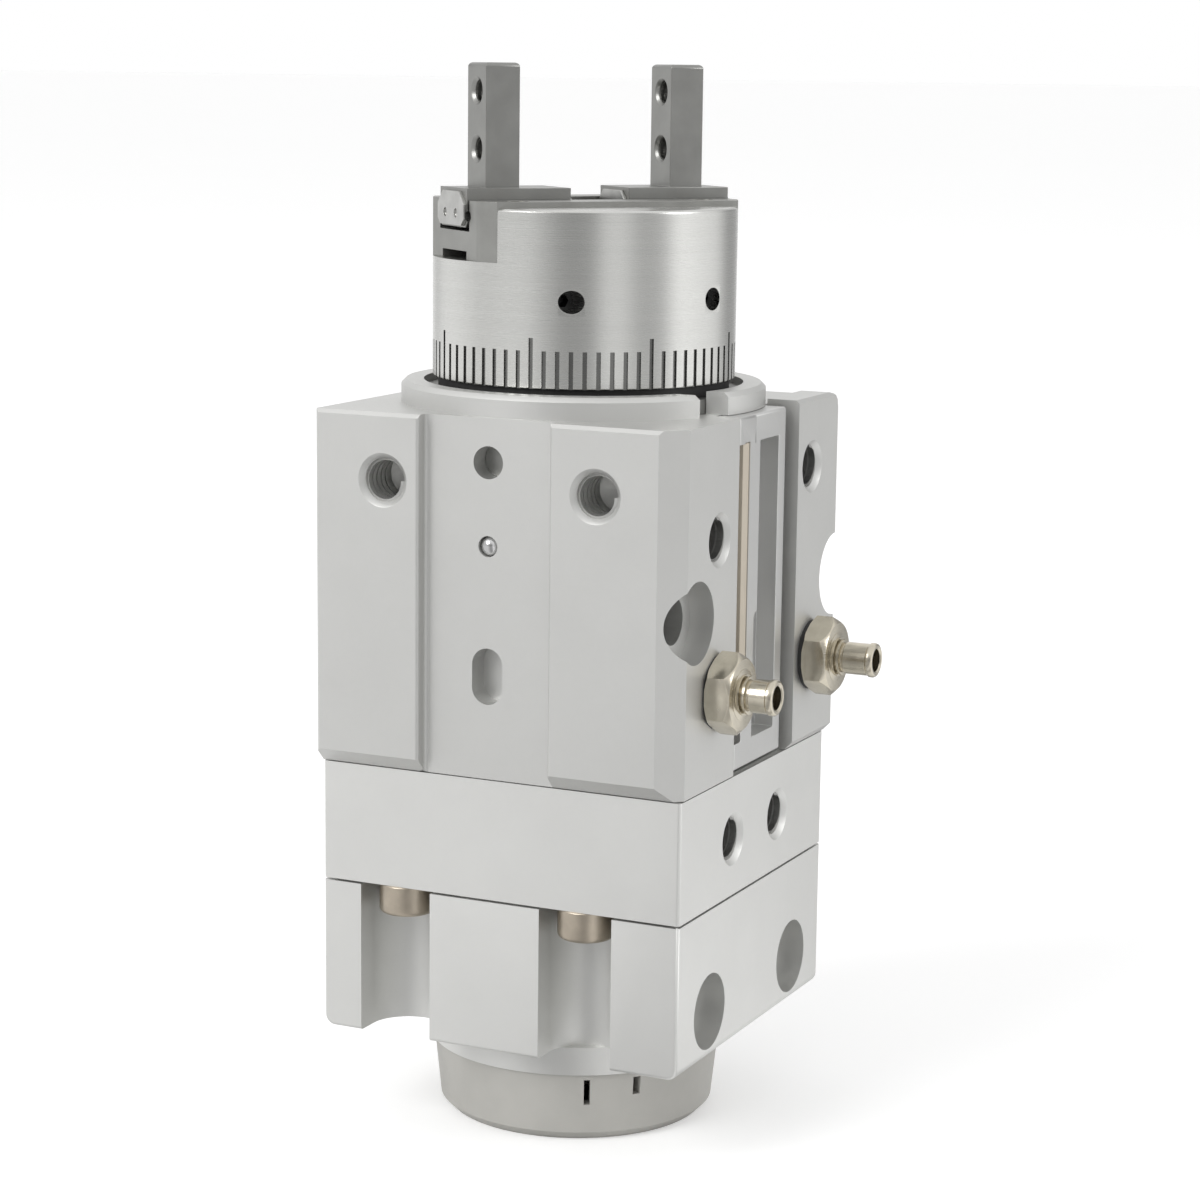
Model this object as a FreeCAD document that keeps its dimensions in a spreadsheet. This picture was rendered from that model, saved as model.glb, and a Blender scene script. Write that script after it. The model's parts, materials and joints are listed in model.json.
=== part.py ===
import FreeCAD, Part
import math
import os
import Sketcher
from FreeCAD import Placement, Rotation, Vector

# Rotary gripper standing on its bottom cap, jaws up, axis of rotation on Z.
# Front is -Y, the side with the switch rail and the fittings is +X.
# Millimetres and degrees.

SIZES = {
    # heights of the stack, from the floor up
    "cap_height": 7.0,
    "boss_height": 2.8,
    "lower_height": 15.0,
    "middle_height": 11.8,
    "main_height": 34.4,
    "ring_height": 2.15,
    # outline of the blocks
    "half_width": 19.0,
    "half_depth": 17.9,
    "pad_rise": 1.4,
    "window_left": 7.8,
    "window_right": 5.85,
    "side_pad_rise": 0.8,
    "side_pad_start": 7.4,
    "side_pad_lift": 0.45,
    "side_pad_round": 1.6,
    "side_pad_depth": 2.6,
    "corner_cut": 2.15,
    "edge_break": 0.35,
    "ring_wall": 2.2,
    "ring_edge": 0.45,
    "notch_width": 3.6,
    "notch_centre": 6.2,
    # threaded holes, pin hole and through bolt
    "drill_radius": 2.1,
    "thread_depth": 5.4,
    "countersink_radius": 2.6,
    "face_hole_pitch": 22.2,
    "face_hole_centre": 0.55,
    "face_hole_drop": 6.4,
    "side_hole_near": 9.9,
    "side_hole_near_drop": 11.0,
    "side_hole_far": 11.1,
    "pin_hole_radius": 1.55,
    "pin_hole_offset": 1.15,
    "pin_hole_drop": 4.2,
    "pin_depth": 2.4,
    "ball_radius": 0.98,
    "ball_drop": 12.1,
    "pin_slot_rise": 9.9,
    "pin_slot_length": 5.4,
    "pin_slot_width": 3.2,
    "bolt_pocket_radius": 3.9,
    "bolt_pocket_depth": 2.45,
    "bolt_hole_radius": 2.25,
    "bolt_offset": 14.9,
    "bolt_rise": 16.3,
    "relief_radius": 4.2,
    "relief_depth": 3.5,
    "relief_offset": 18.0,
    # switch rail
    "rail_depth": 2.5,
    "rail_wall": 0.85,
    "rail_start": 5.55,
    "rail_end": 6.0,
    "rail_clearance": 0.05,
    "rail_foot_gap": 0.4,
    "narrow_slot_width": 1.6,
    "wide_slot_near": 0.45,
    "wide_slot_width": 5.6,
    "slot_floor": 0.5,
    "slot_margin": 2.6,
    # barb fittings
    "fitting_rise": 9.0,
    "fitting_near": 9.9,
    "fitting_far": 11.8,
    "port_radius": 2.5,
    "port_depth": 5.0,
    "shank_length": 4.6,
    "gasket_thickness": 0.4,
    "hex_across": 6.9,
    "hex_length": 2.5,
    "barb_length": 3.5,
    "barb_radius": 1.7,
    "stem_radius": 1.45,
    "fitting_bore": 1.15,
    # ports of the vane drive
    "vane_port_pitch": 11.2,
    "vane_port_centre": 0.3,
    "vane_port_drop": 6.25,
    "stop_port_pitch": 20.6,
    "stop_port_rise": 4.75,
    "stop_port_radius": 3.7,
    "stop_port_depth": 3.2,
    "stop_drill_depth": 7.0,
    # clamp bolts
    "scallop_radius": 3.8,
    "scallop_left": 11.05,
    "scallop_right": 8.3,
    "scallop_inset": 2.5,
    "screw_radius": 1.5,
    "screw_head_radius": 2.75,
    "screw_head_height": 3.0,
    "screw_socket": 1.45,
    "screw_length": 19.0,
    "screw_end_room": 0.8,
    "base_screw_offset": 15.2,
    "running_gap": 0.08,
    # bottom cap
    "boss_radius": 14.6,
    "cap_radius": 14.25,
    "cap_foot_radius": 13.7,
    "cap_wall": 1.5,
    "cap_round": 0.9,
    "cap_slit_width": 0.6,
    "cap_slit_top": 0.6,
    "cap_slit_height": 2.6,
    "cap_slit_angle": 60.0,
    "cap_slit_step": 20.0,
    # vane drive
    "chamber_radius": 11.0,
    "chamber_height": 13.6,
    "hub_radius": 5.5,
    "journal_radius": 3.5,
    "neck_radius": 4.0,
    "bush_wall": 1.5,
    "bush_length": 6.0,
    "vane_thickness": 3.2,
    "vane_seal_depth": 0.7,
    "shoe_half_angle": 70.0,
    "drive_radius": 3.3,
    "drive_length": 2.6,
    "arm_rise": 1.2,
    "arm_thickness": 1.2,
    "arm_reach": 9.5,
    "magnet_radius": 1.5,
    "magnet_height": 1.8,
    # turning sleeve, bearing and seals in the main body
    "sleeve_radius": 10.95,
    "sleeve_floor": 10.0,
    "sleeve_foot_gap": 1.6,
    "bearing_radius": 14.0,
    "bearing_width": 5.0,
    "cover_drop": 0.75,
    "race_wall": 0.95,
    "bearing_ball_radius": 0.95,
    "cover_thickness": 5.2,
    "seal_margin": 1.4,
    "seal_width": 1.2,
    "packing_radius": 0.55,
    "packing_rise": 4.4,
    "packing_step": 7.0,
    "packing_drop": 4.1,
    "neck_fit_radius": 9.9,
    "neck_fit_height": 2.6,
    # gripper cylinder
    "bore_radius": 8.0,
    "piston_length": 7.0,
    "piston_rise": 20.0,
    "rod_radius": 2.5,
    "rod_cover_thickness": 4.0,
    "rod_cover_rise": 29.0,
    "rod_groove_drop": 1.0,
    "rod_groove_height": 1.4,
    "rod_groove_depth": 1.2,
    "snap_ring_thickness": 0.8,
    "snap_ring_radius": 8.6,
    "piston_magnet_radius": 7.0,
    "piston_magnet_height": 2.4,
    "nut_radius": 3.9,
    "nut_height": 2.0,
    "spool_radius": 4.2,
    "spool_core": 1.4,
    "spool_flange": 1.2,
    "spool_groove": 2.3,
    # turning head
    "head_gap": 0.65,
    "head_radius": 14.75,
    "head_height": 16.35,
    "head_edge": 0.35,
    "head_angle": 231.0,
    "guide_half_width": 7.6,
    "guide_depth": 5.05,
    "guide_stand": 0.55,
    "guide_half_length": 13.75,
    "guide_screw_inset": 4.0,
    "guide_relief": 0.8,
    "guide_relief_half": 2.9,
    "channel_half": 3.55,
    "channel_depth": 2.9,
    "lever_cavity_half": 1.8,
    "lever_cavity_reach": 10.6,
    "pivot_offset": 7.37,
    "pivot_drop": 8.45,
    "pin_radius": 1.0,
    "plug_radius": 1.2,
    "plug_length": 2.1,
    "plug_sink": 2.1,
    # fingers
    "finger_inner": 8.0,
    "finger_thickness": 3.5,
    "finger_half_width": 2.15,
    "finger_height": 11.7,
    "finger_edge": 0.4,
    "finger_stroke": 2.0,
    "finger_notch_height": 2.2,
    "finger_hole_radius": 1.03,
    "finger_hole_sink": 1.35,
    "finger_hole_low": 3.6,
    "finger_hole_pitch": 5.45,
    "slider_inner": 3.1,
    "slider_outer": 13.85,
    "slider_half_width": 3.25,
    "slider_stand": 1.1,
    "slider_gap": 0.35,
    "ball_track_radius": 0.5,
    "guide_ball_radius": 0.45,
    "ball_track_rise": 1.05,
    "plate_thickness": 0.35,
    "plate_inset": 0.15,
    "plate_drop": 0.3,
    "plate_corner": 1.2,
    # levers
    "lever_arm": 7.0,
    "lever_reach": 4.77,
    "lever_half_thickness": 1.5,
    "lever_hub_radius": 2.0,
    "lever_width": 1.8,
    "lever_tip_radius": 1.2,
    "lever_end_radius": 1.1,
    "lever_clearance": 0.1,
}

doc = FreeCAD.newDocument("rotary_gripper")
sheet = doc.addObject("Spreadsheet::Sheet", "sizes")
for row, (word, number) in enumerate(SIZES.items(), start=1):
    sheet.set(f"A{row}", word)
    sheet.set(f"B{row}", str(number))
    sheet.setAlias(f"B{row}", word)
doc.recompute()


class Size:
    """A number together with the expression that gives it from the sheet."""

    def __init__(self, value, text):
        self.value = value
        self.text = text

    def join(self, other, sign, swap=False):
        if not isinstance(other, Size):
            other = Size(float(other), repr(float(other)))
        left, right = (other, self) if swap else (self, other)
        results = {
            "+": left.value + right.value,
            "-": left.value - right.value,
            "*": left.value * right.value,
            "/": left.value / right.value if right.value else 0.0,
        }
        return Size(results[sign], f"({left.text} {sign} {right.text})")

    def __add__(self, other):
        return self.join(other, "+")

    def __radd__(self, other):
        return self.join(other, "+", True)

    def __sub__(self, other):
        return self.join(other, "-")

    def __rsub__(self, other):
        return self.join(other, "-", True)

    def __mul__(self, other):
        return self.join(other, "*")

    def __rmul__(self, other):
        return self.join(other, "*", True)

    def __truediv__(self, other):
        return self.join(other, "/")

    def __neg__(self):
        return Size(-self.value, f"(-{self.text})")


class Sheet:
    """Reads a size by its alias."""

    def __getattr__(self, word):
        return Size(float(sheet.get(word)), f"sizes.{word}")


S = Sheet()
ZERO = Size(0.0, "0.0")
# height of a drill point for each millimetre of its radius
DRILL_POINT = 0.6


def size(number):
    if isinstance(number, Size):
        return number
    return Size(float(number), repr(float(number)))


def bind(feature, name, length):
    feature.setExpression(name, size(length).text)


def place(feature, at, turn=None):
    """Puts a feature at a point whose coordinates follow the sheet."""
    at = [size(c) for c in at]
    feature.Placement = Placement(Vector(*[c.value for c in at]), turn or Rotation())
    for axis, coordinate in zip("xyz", at):
        bind(feature, f"Placement.Base.{axis}", coordinate)


# turns that lay a form drawn along Z on another axis
TURN = {
    "z": Rotation(),
    "x": Rotation(Vector(0, 1, 0), 90),
    "-x": Rotation(Vector(0, 1, 0), -90),
    "y": Rotation(Vector(1, 0, 0), -90),
    "-y": Rotation(Vector(1, 0, 0), 90),
}
parts = []


def new_body(label):
    body = doc.addObject("PartDesign::Body", label)
    body.Label = label
    return body


def keep(piece, label=None, turn_with_head=False):
    """Lists a finished piece, and turns it with the head where it belongs to it."""
    if label:
        piece.Label = label
    if turn_with_head:
        piece.Placement = Placement(Vector(), Rotation(Vector(0, 0, 1), S.head_angle.value))
        bind(piece, "Placement.Rotation.Angle", S.head_angle)
    parts.append(piece)
    return piece


def plane_of(body, role):
    for feature in body.Origin.OriginFeatures:
        if feature.Role == role:
            return feature
    raise RuntimeError(role)


def outline(body, role, points, offset=ZERO):
    """Closed polygon sketch on one of the body's own planes, each corner set from the sheet."""
    sketch = body.newObject("Sketcher::SketchObject", "outline")
    sketch.AttachmentSupport = [(plane_of(body, role), "")]
    sketch.MapMode = "FlatFace"
    bind(sketch, "AttachmentOffset.Base.z", offset)
    points = [(size(u), size(v)) for u, v in points]
    corners = [Vector(u.value, v.value, 0) for u, v in points]
    for start, end in zip(corners, corners[1:] + corners[:1]):
        sketch.addGeometry(Part.LineSegment(start, end), False)
    count = len(points)
    for i in range(count):
        sketch.addConstraint(Sketcher.Constraint("Coincident", i, 2, (i + 1) % count, 1))
    for i, (u, v) in enumerate(points):
        for kind, axis, coordinate in (("DistanceX", -2, u), ("DistanceY", -1, v)):
            if abs(coordinate.value) < 1e-9:
                sketch.addConstraint(Sketcher.Constraint("PointOnObject", i, 1, axis))
            else:
                index = sketch.addConstraint(Sketcher.Constraint(kind, -1, 1, i, 1, coordinate.value))
                sketch.setExpression(f"Constraints[{index}]", coordinate.text)
    return sketch


def pad(body, role, points, start, length, cut=False):
    """Prism on a plane of the body, from start over length along the plane's normal."""
    sketch = outline(body, role, points, size(start))
    kind = "PartDesign::Pocket" if cut else "PartDesign::Pad"
    feature = body.newObject(kind, "prism")
    feature.Profile = sketch
    bind(feature, "Length", length)
    feature.Reversed = cut
    body.Tip = feature
    return feature


def turned(body, points, cut=False):
    """Turned form: the (radius, height) corners revolved about Z."""
    sketch = outline(body, "XZ_Plane", points)
    kind = "PartDesign::Groove" if cut else "PartDesign::Revolution"
    feature = body.newObject(kind, "turned")
    feature.Profile = sketch
    feature.ReferenceAxis = (sketch, ["V_Axis"])
    feature.Angle = 360.0
    body.Tip = feature
    return feature


def block(body, low, high, cut=False):
    """Box between two corners."""
    low = [size(c) for c in low]
    high = [size(c) for c in high]
    kind = "PartDesign::SubtractiveBox" if cut else "PartDesign::AdditiveBox"
    feature = body.newObject(kind, "block")
    for name, a, b in zip(("Length", "Width", "Height"), low, high):
        bind(feature, name, b - a)
    place(feature, low)
    return feature


def round_bar(body, at, axis, radius, length, cut=True):
    """Round hole or bar from a point along an axis."""
    kind = "PartDesign::SubtractiveCylinder" if cut else "PartDesign::AdditiveCylinder"
    feature = body.newObject(kind, "hole" if cut else "bar")
    bind(feature, "Radius", radius)
    bind(feature, "Height", length)
    place(feature, at, TURN[axis])
    return feature


def sink(body, at, axis, wide, narrow, depth):
    """Conical mouth of a hole, wide end at the point."""
    feature = body.newObject("PartDesign::SubtractiveCone", "mouth")
    bind(feature, "Radius1", wide)
    bind(feature, "Radius2", narrow)
    bind(feature, "Height", depth)
    place(feature, at, TURN[axis])
    return feature


def threaded_hole(body, at, axis, depth=None):
    """Tapping drill with its countersunk mouth and the cone that the drill's point leaves."""
    depth = depth or S.thread_depth
    round_bar(body, at, axis, S.drill_radius, depth)
    sink(body, at, axis, S.countersink_radius, S.drill_radius, S.countersink_radius - S.drill_radius)
    x, y, z = at
    end = (x, y + depth, z) if axis == "y" else (x - depth, y, z)
    sink(body, end, axis, S.drill_radius, 0, S.drill_radius * DRILL_POINT)


def edges_where(body, test):
    shape = body.Tip.Shape
    return [f"Edge{i}" for i, edge in enumerate(shape.Edges, start=1) if test(edge)]


def dress(body, kind, amount, test):
    """Chamfer or fillet on the edges that pass the test."""
    doc.recompute()
    base = body.Tip
    names = edges_where(body, test)
    feature = body.newObject(f"PartDesign::{kind}", kind.lower())
    feature.Base = (base, names)
    bind(feature, "Radius" if kind == "Fillet" else "Size", amount)
    body.Tip = feature
    return feature


def upright(edge):
    return len(edge.Vertexes) == 2 and math.hypot(
        edge.Vertexes[0].X - edge.Vertexes[1].X, edge.Vertexes[0].Y - edge.Vertexes[1].Y) < 1e-6


def level(edge, height):
    return all(abs(vertex.Z - height) < 1e-6 for vertex in edge.Vertexes)


def group(label, pieces, turn_with_head=False):
    """Like pieces that share one node as separate solids."""
    whole = doc.addObject("Part::Compound", label)
    whole.Links = pieces
    return keep(whole, label, turn_with_head)


# heights of the joints between the blocks
BOSS_FOOT = S.cap_height
LOWER_FOOT = BOSS_FOOT + S.boss_height
MIDDLE_FOOT = LOWER_FOOT + S.lower_height
MAIN_FOOT = MIDDLE_FOOT + S.middle_height
MAIN_TOP = MAIN_FOOT + S.main_height
RING_TOP = MAIN_TOP + S.ring_height
HEAD_FOOT = RING_TOP + S.head_gap
HEAD_TOP = HEAD_FOOT + S.head_height
GUIDE_FOOT = HEAD_TOP - S.guide_depth
GUIDE_TOP = HEAD_TOP + S.guide_stand
CHANNEL_FLOOR = GUIDE_TOP - S.channel_depth
SLIDER_FOOT = CHANNEL_FLOOR + S.slider_gap
SLIDER_TOP = GUIDE_TOP + S.slider_stand
PIVOT_HEIGHT = HEAD_TOP - S.pivot_drop
FRONT = S.half_depth + S.pad_rise
SIDE = S.half_width + S.side_pad_rise
RAIL_FLOOR = S.half_width - S.rail_depth - S.rail_clearance
RING_BORE = RAIL_FLOOR - S.rail_wall
RING_RADIUS = RING_BORE + S.ring_wall
SEAL_RADIUS = RING_BORE - S.seal_margin
SLEEVE_FOOT = MAIN_FOOT + S.sleeve_foot_gap
SLEEVE_BORE = S.sleeve_radius + S.running_gap
CHAMBER_FOOT = MIDDLE_FOOT - S.chamber_height / 2
CHAMBER_TOP = MIDDLE_FOOT + S.chamber_height / 2
COVER_TOP = RING_TOP - S.cover_drop
COVER_FOOT = COVER_TOP - S.cover_thickness
BEARING_TOP = COVER_FOOT
BEARING_FOOT = BEARING_TOP - S.bearing_width
SCREW_HOLE = S.screw_radius + S.running_gap
BASE_HOLE_DEPTH = S.screw_head_height + S.screw_length + S.screw_end_room - S.lower_height
PACKING_FOOT = MAIN_FOOT + S.packing_rise
PACKING_LEVELS = [PACKING_FOOT, PACKING_FOOT + S.packing_step, BEARING_FOOT - S.packing_drop]
SCALLOPS = [(sx * centre, sy) for sx, centre in ((-1, S.scallop_left), (1, S.scallop_right)) for sy in (-1, 1)]


def make_main_body():
    """Extruded body with two raised front faces, a raised side face and a spigot ring on top."""
    body = new_body("main_body")
    w, d = S.half_width, S.half_depth
    pad(body, "XY_Plane", [(-w, -d), (w, -d), (w, d), (-w, d)], MAIN_FOOT, S.main_height)
    face = [(-d, MAIN_FOOT), (-FRONT, MAIN_FOOT + S.pad_rise), (-FRONT, MAIN_TOP), (-d, MAIN_TOP)]
    pad(body, "YZ_Plane", face, -w, w - S.window_left)
    pad(body, "YZ_Plane", face, S.window_right, w - S.window_right)
    lift = MAIN_TOP + S.side_pad_lift
    raised = [(w - S.side_pad_depth, MAIN_FOOT), (w, MAIN_FOOT), (SIDE, MAIN_FOOT + S.side_pad_rise),
              (SIDE, lift), (w - S.side_pad_depth, lift)]
    pad(body, "XZ_Plane", raised, -d, d - S.side_pad_start)
    dress(body, "Chamfer", S.edge_break,
          lambda e: upright(e) and e.Vertexes[0].X < -w.value + 1e-6
          or level(e, MAIN_TOP.value) and all(v.Y < -FRONT.value + 1e-6 for v in e.Vertexes)
          or level(e, lift.value) and all(v.X > SIDE.value - 1e-6 for v in e.Vertexes))
    corner = [(w - S.corner_cut, -FRONT - 1), (w + 1, -FRONT - 1), (w + 1, -FRONT + S.corner_cut + 1),
              (w, -FRONT + S.corner_cut), (w - S.corner_cut, -FRONT)]
    pad(body, "XY_Plane", corner, MAIN_FOOT - 1, S.main_height + 2, cut=True)
    # the side pad falls away in a round at its far top corner
    r = S.side_pad_round
    fall = [(d - r, lift), (d + 1, lift), (d + 1, lift - r), (d, lift - r), (d - 0.12 * r, lift - 0.5 * r),
            (d - 0.5 * r, lift - 0.12 * r)]
    pad(body, "YZ_Plane", fall, w - S.side_pad_depth, S.side_pad_depth + S.side_pad_rise + 1, cut=True)
    # channel that holds the switch rail
    block(body, (RAIL_FLOOR, -S.rail_start - S.rail_clearance, MAIN_FOOT), (w + 1, S.side_pad_start, MAIN_TOP),
          cut=True)
    # spigot ring with its notch
    turned(body, [(ZERO, MAIN_TOP), (RING_RADIUS, MAIN_TOP), (RING_RADIUS, RING_TOP - S.ring_edge),
                  (RING_RADIUS - S.ring_edge, RING_TOP), (ZERO, RING_TOP)])
    block(body, (RING_BORE - S.ring_wall, -S.notch_centre - S.notch_width / 2, MAIN_TOP),
          (w, -S.notch_centre + S.notch_width / 2, RING_TOP), cut=True)
    # stepped bore for the sleeve, the bearing and its cover
    turned(body, [(ZERO, MAIN_FOOT), (SLEEVE_BORE, MAIN_FOOT), (SLEEVE_BORE, BEARING_FOOT),
                  (S.bearing_radius, BEARING_FOOT), (S.bearing_radius, COVER_FOOT), (RING_BORE, COVER_FOOT),
                  (RING_BORE, RING_TOP), (ZERO, RING_TOP)], cut=True)
    for height in PACKING_LEVELS:
        half = S.packing_radius + 0.1
        outer = SLEEVE_BORE + S.packing_radius * 2
        turned(body, [(SLEEVE_BORE - 0.5, height - half), (outer, height - half), (outer, height + half),
                      (SLEEVE_BORE - 0.5, height + half)], cut=True)
    # tapped holes of the front and side faces
    hole_height = MAIN_TOP - S.face_hole_drop
    for sign in (-1, 1):
        threaded_hole(body, (sign * S.face_hole_pitch / 2 - S.face_hole_centre, -FRONT, hole_height), "y")
    threaded_hole(body, (SIDE, S.side_hole_far, hole_height), "-x")
    threaded_hole(body, (w, -S.side_hole_near, MAIN_TOP - S.side_hole_near_drop), "-x")
    # pin hole, plugged air channel and oblong pin slot of the front window
    pin = -S.pin_hole_offset
    round_bar(body, (pin, -d, MAIN_TOP - S.pin_hole_drop), "y", S.pin_hole_radius, S.pin_depth)
    round_bar(body, (pin, -d, MAIN_TOP - S.ball_drop), "y", S.ball_radius + 0.02, 3)
    slot = MAIN_FOOT + S.pin_slot_rise
    reach = (S.pin_slot_length - S.pin_slot_width) / 2
    for sign in (-1, 1):
        round_bar(body, (pin, -d, slot + sign * reach), "y", S.pin_slot_width / 2, S.pin_depth)
    block(body, (pin - S.pin_slot_width / 2, -d, slot - reach),
          (pin + S.pin_slot_width / 2, -d + S.pin_depth, slot + reach), cut=True)
    # through bolt with its pocket, and the round relief at the back
    bolt = MAIN_FOOT + S.bolt_rise
    round_bar(body, (w, -S.bolt_offset, bolt), "-x", S.bolt_pocket_radius, S.bolt_pocket_depth)
    round_bar(body, (w, -S.bolt_offset, bolt), "-x", S.bolt_hole_radius, 2 * w)
    round_bar(body, (SIDE, S.relief_offset, bolt), "-x", S.relief_radius, S.relief_depth)
    # ports of the jaw cylinder and their air channels
    port = MAIN_FOOT + S.fitting_rise
    for face_x, y in ((w, -S.fitting_near), (SIDE, S.fitting_far)):
        round_bar(body, (face_x, y, port), "-x", S.port_radius, S.port_depth)
        round_bar(body, (face_x, y, port), "-x", S.drill_radius / 3, face_x - 3)
    # threads of the clamp bolts
    for x, sign in SCALLOPS:
        round_bar(body, (x, sign * (d - S.scallop_inset), MAIN_FOOT), "z", SCREW_HOLE,
                  S.screw_length + S.screw_end_room - S.middle_height)
    return keep(body)


def make_middle_block():
    """Upper half of the vane housing."""
    body = new_body("middle_block")
    w, d = S.half_width, S.half_depth
    pad(body, "XY_Plane", [(-w, -d), (w, -d), (w, d), (-w, d)], MIDDLE_FOOT, S.middle_height)
    dress(body, "Fillet", S.edge_break, upright)
    bush = S.neck_radius + S.bush_wall + 0.02
    turned(body, [(ZERO, MIDDLE_FOOT), (S.chamber_radius, MIDDLE_FOOT), (S.chamber_radius, CHAMBER_TOP),
                  (bush, CHAMBER_TOP), (bush, MAIN_FOOT), (ZERO, MAIN_FOOT)], cut=True)
    for sign in (-1, 1):
        y = sign * S.vane_port_pitch / 2 + S.vane_port_centre
        threaded_hole(body, (w, y, MAIN_FOOT - S.vane_port_drop), "-x", S.port_depth)
        round_bar(body, (w, y, MAIN_FOOT - S.vane_port_drop), "-x", S.drill_radius / 3, w - S.hub_radius - 2)
        round_bar(body, (sign * S.base_screw_offset, 0, MIDDLE_FOOT), "z", SCREW_HOLE,
                  BASE_HOLE_DEPTH)
    for x, sign in SCALLOPS:
        round_bar(body, (x, sign * (d - S.scallop_inset), MIDDLE_FOOT), "z", SCREW_HOLE, S.middle_height)
    return keep(body)


def make_lower_block():
    """Lower half of the vane housing, with bolt scallops front and back and a round boss below."""
    body = new_body("lower_block")
    w, d = S.half_width, S.half_depth
    pad(body, "XY_Plane", [(-w, -d), (w, -d), (w, d), (-w, d)], LOWER_FOOT, S.lower_height)
    dress(body, "Fillet", 3 * S.edge_break,
          lambda e: level(e, LOWER_FOOT.value) and abs(e.Vertexes[0].X - e.Vertexes[1].X) < 1e-6)
    dress(body, "Fillet", S.edge_break, upright)
    round_bar(body, (0, 0, BOSS_FOOT), "z", S.boss_radius, S.boss_height + 1, cut=False)
    bush = S.journal_radius + S.bush_wall + 0.02
    turned(body, [(ZERO, BOSS_FOOT), (bush, BOSS_FOOT), (bush, BOSS_FOOT + S.bush_length + 1),
                  (S.journal_radius + 0.1, BOSS_FOOT + S.bush_length + 1), (S.journal_radius + 0.1, CHAMBER_FOOT),
                  (S.chamber_radius, CHAMBER_FOOT), (S.chamber_radius, MIDDLE_FOOT), (ZERO, MIDDLE_FOOT)], cut=True)
    inset = d - S.scallop_inset
    for x, sign in SCALLOPS:
        round_bar(body, (x, sign * inset, LOWER_FOOT), "z", S.scallop_radius, S.lower_height)
        near, far = (-d - 1, -inset) if sign < 0 else (inset, d + 1)
        block(body, (x - S.scallop_radius, near, LOWER_FOOT), (x + S.scallop_radius, far, MIDDLE_FOOT), cut=True)
    for sign in (-1, 1):
        at = (w, sign * S.stop_port_pitch / 2, LOWER_FOOT + S.stop_port_rise)
        round_bar(body, at, "-x", S.stop_port_radius, S.stop_port_depth)
        round_bar(body, at, "-x", S.drill_radius, S.stop_drill_depth)
        x = sign * S.base_screw_offset
        round_bar(body, (x, 0, LOWER_FOOT), "z", SCREW_HOLE, S.lower_height)
        round_bar(body, (x, 0, LOWER_FOOT), "z", S.screw_head_radius + S.running_gap, S.screw_head_height)
    return keep(body)


def make_bottom_cap():
    """Moulded cap over the lower shaft end, with two narrow slits."""
    body = new_body("bottom_cap")
    inner = S.cap_radius - S.cap_wall
    turned(body, [(ZERO, ZERO), (S.cap_foot_radius - S.cap_round, ZERO), (S.cap_foot_radius, S.cap_round),
                  (S.cap_radius, S.cap_height - S.cap_round), (S.cap_radius, S.cap_height), (inner, S.cap_height),
                  (inner - 0.5, S.cap_wall), (ZERO, S.cap_wall)])
    top = S.cap_height - S.cap_slit_top
    for step, height in ((0, S.cap_slit_height), (1, S.cap_slit_height * 0.7)):
        angle = S.cap_slit_angle.value - step * S.cap_slit_step.value
        slit = body.newObject("PartDesign::SubtractiveBox", "slit")
        bind(slit, "Length", S.cap_wall + 2)
        bind(slit, "Width", S.cap_slit_width * (1 + 0.3 * step))
        bind(slit, "Height", height)
        turn = Rotation(Vector(0, 0, 1), -angle)
        start = turn.multVec(Vector(inner.value - 1, -S.cap_slit_width.value / 2, 0))
        slit.Placement = Placement(Vector(start.x, start.y, (top - height).value), turn)
    return keep(body)


def make_switch_rail():
    """Rail for the position switches: a narrow slot along its front edge and a wide one, closed at both ends."""
    body = new_body("switch_rail")
    gap = S.rail_clearance
    foot, top = MAIN_FOOT + S.rail_foot_gap, MAIN_TOP - gap
    x0, x1 = RAIL_FLOOR + gap, S.half_width
    block(body, (x0, -S.rail_start, foot), (x1, S.rail_end, top))
    dress(body, "Chamfer", S.edge_break / 2,
          lambda e: all(v.X > x1.value - 1e-6 for v in e.Vertexes))
    low, high = foot + S.slot_margin, top - S.slot_margin
    floor = x0 + S.slot_floor
    block(body, (floor, -S.rail_start, low), (x1, -S.rail_start + S.narrow_slot_width, high), cut=True)
    block(body, (floor, -S.wide_slot_near, low), (x1, -S.wide_slot_near + S.wide_slot_width, high), cut=True)
    return keep(body)


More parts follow.
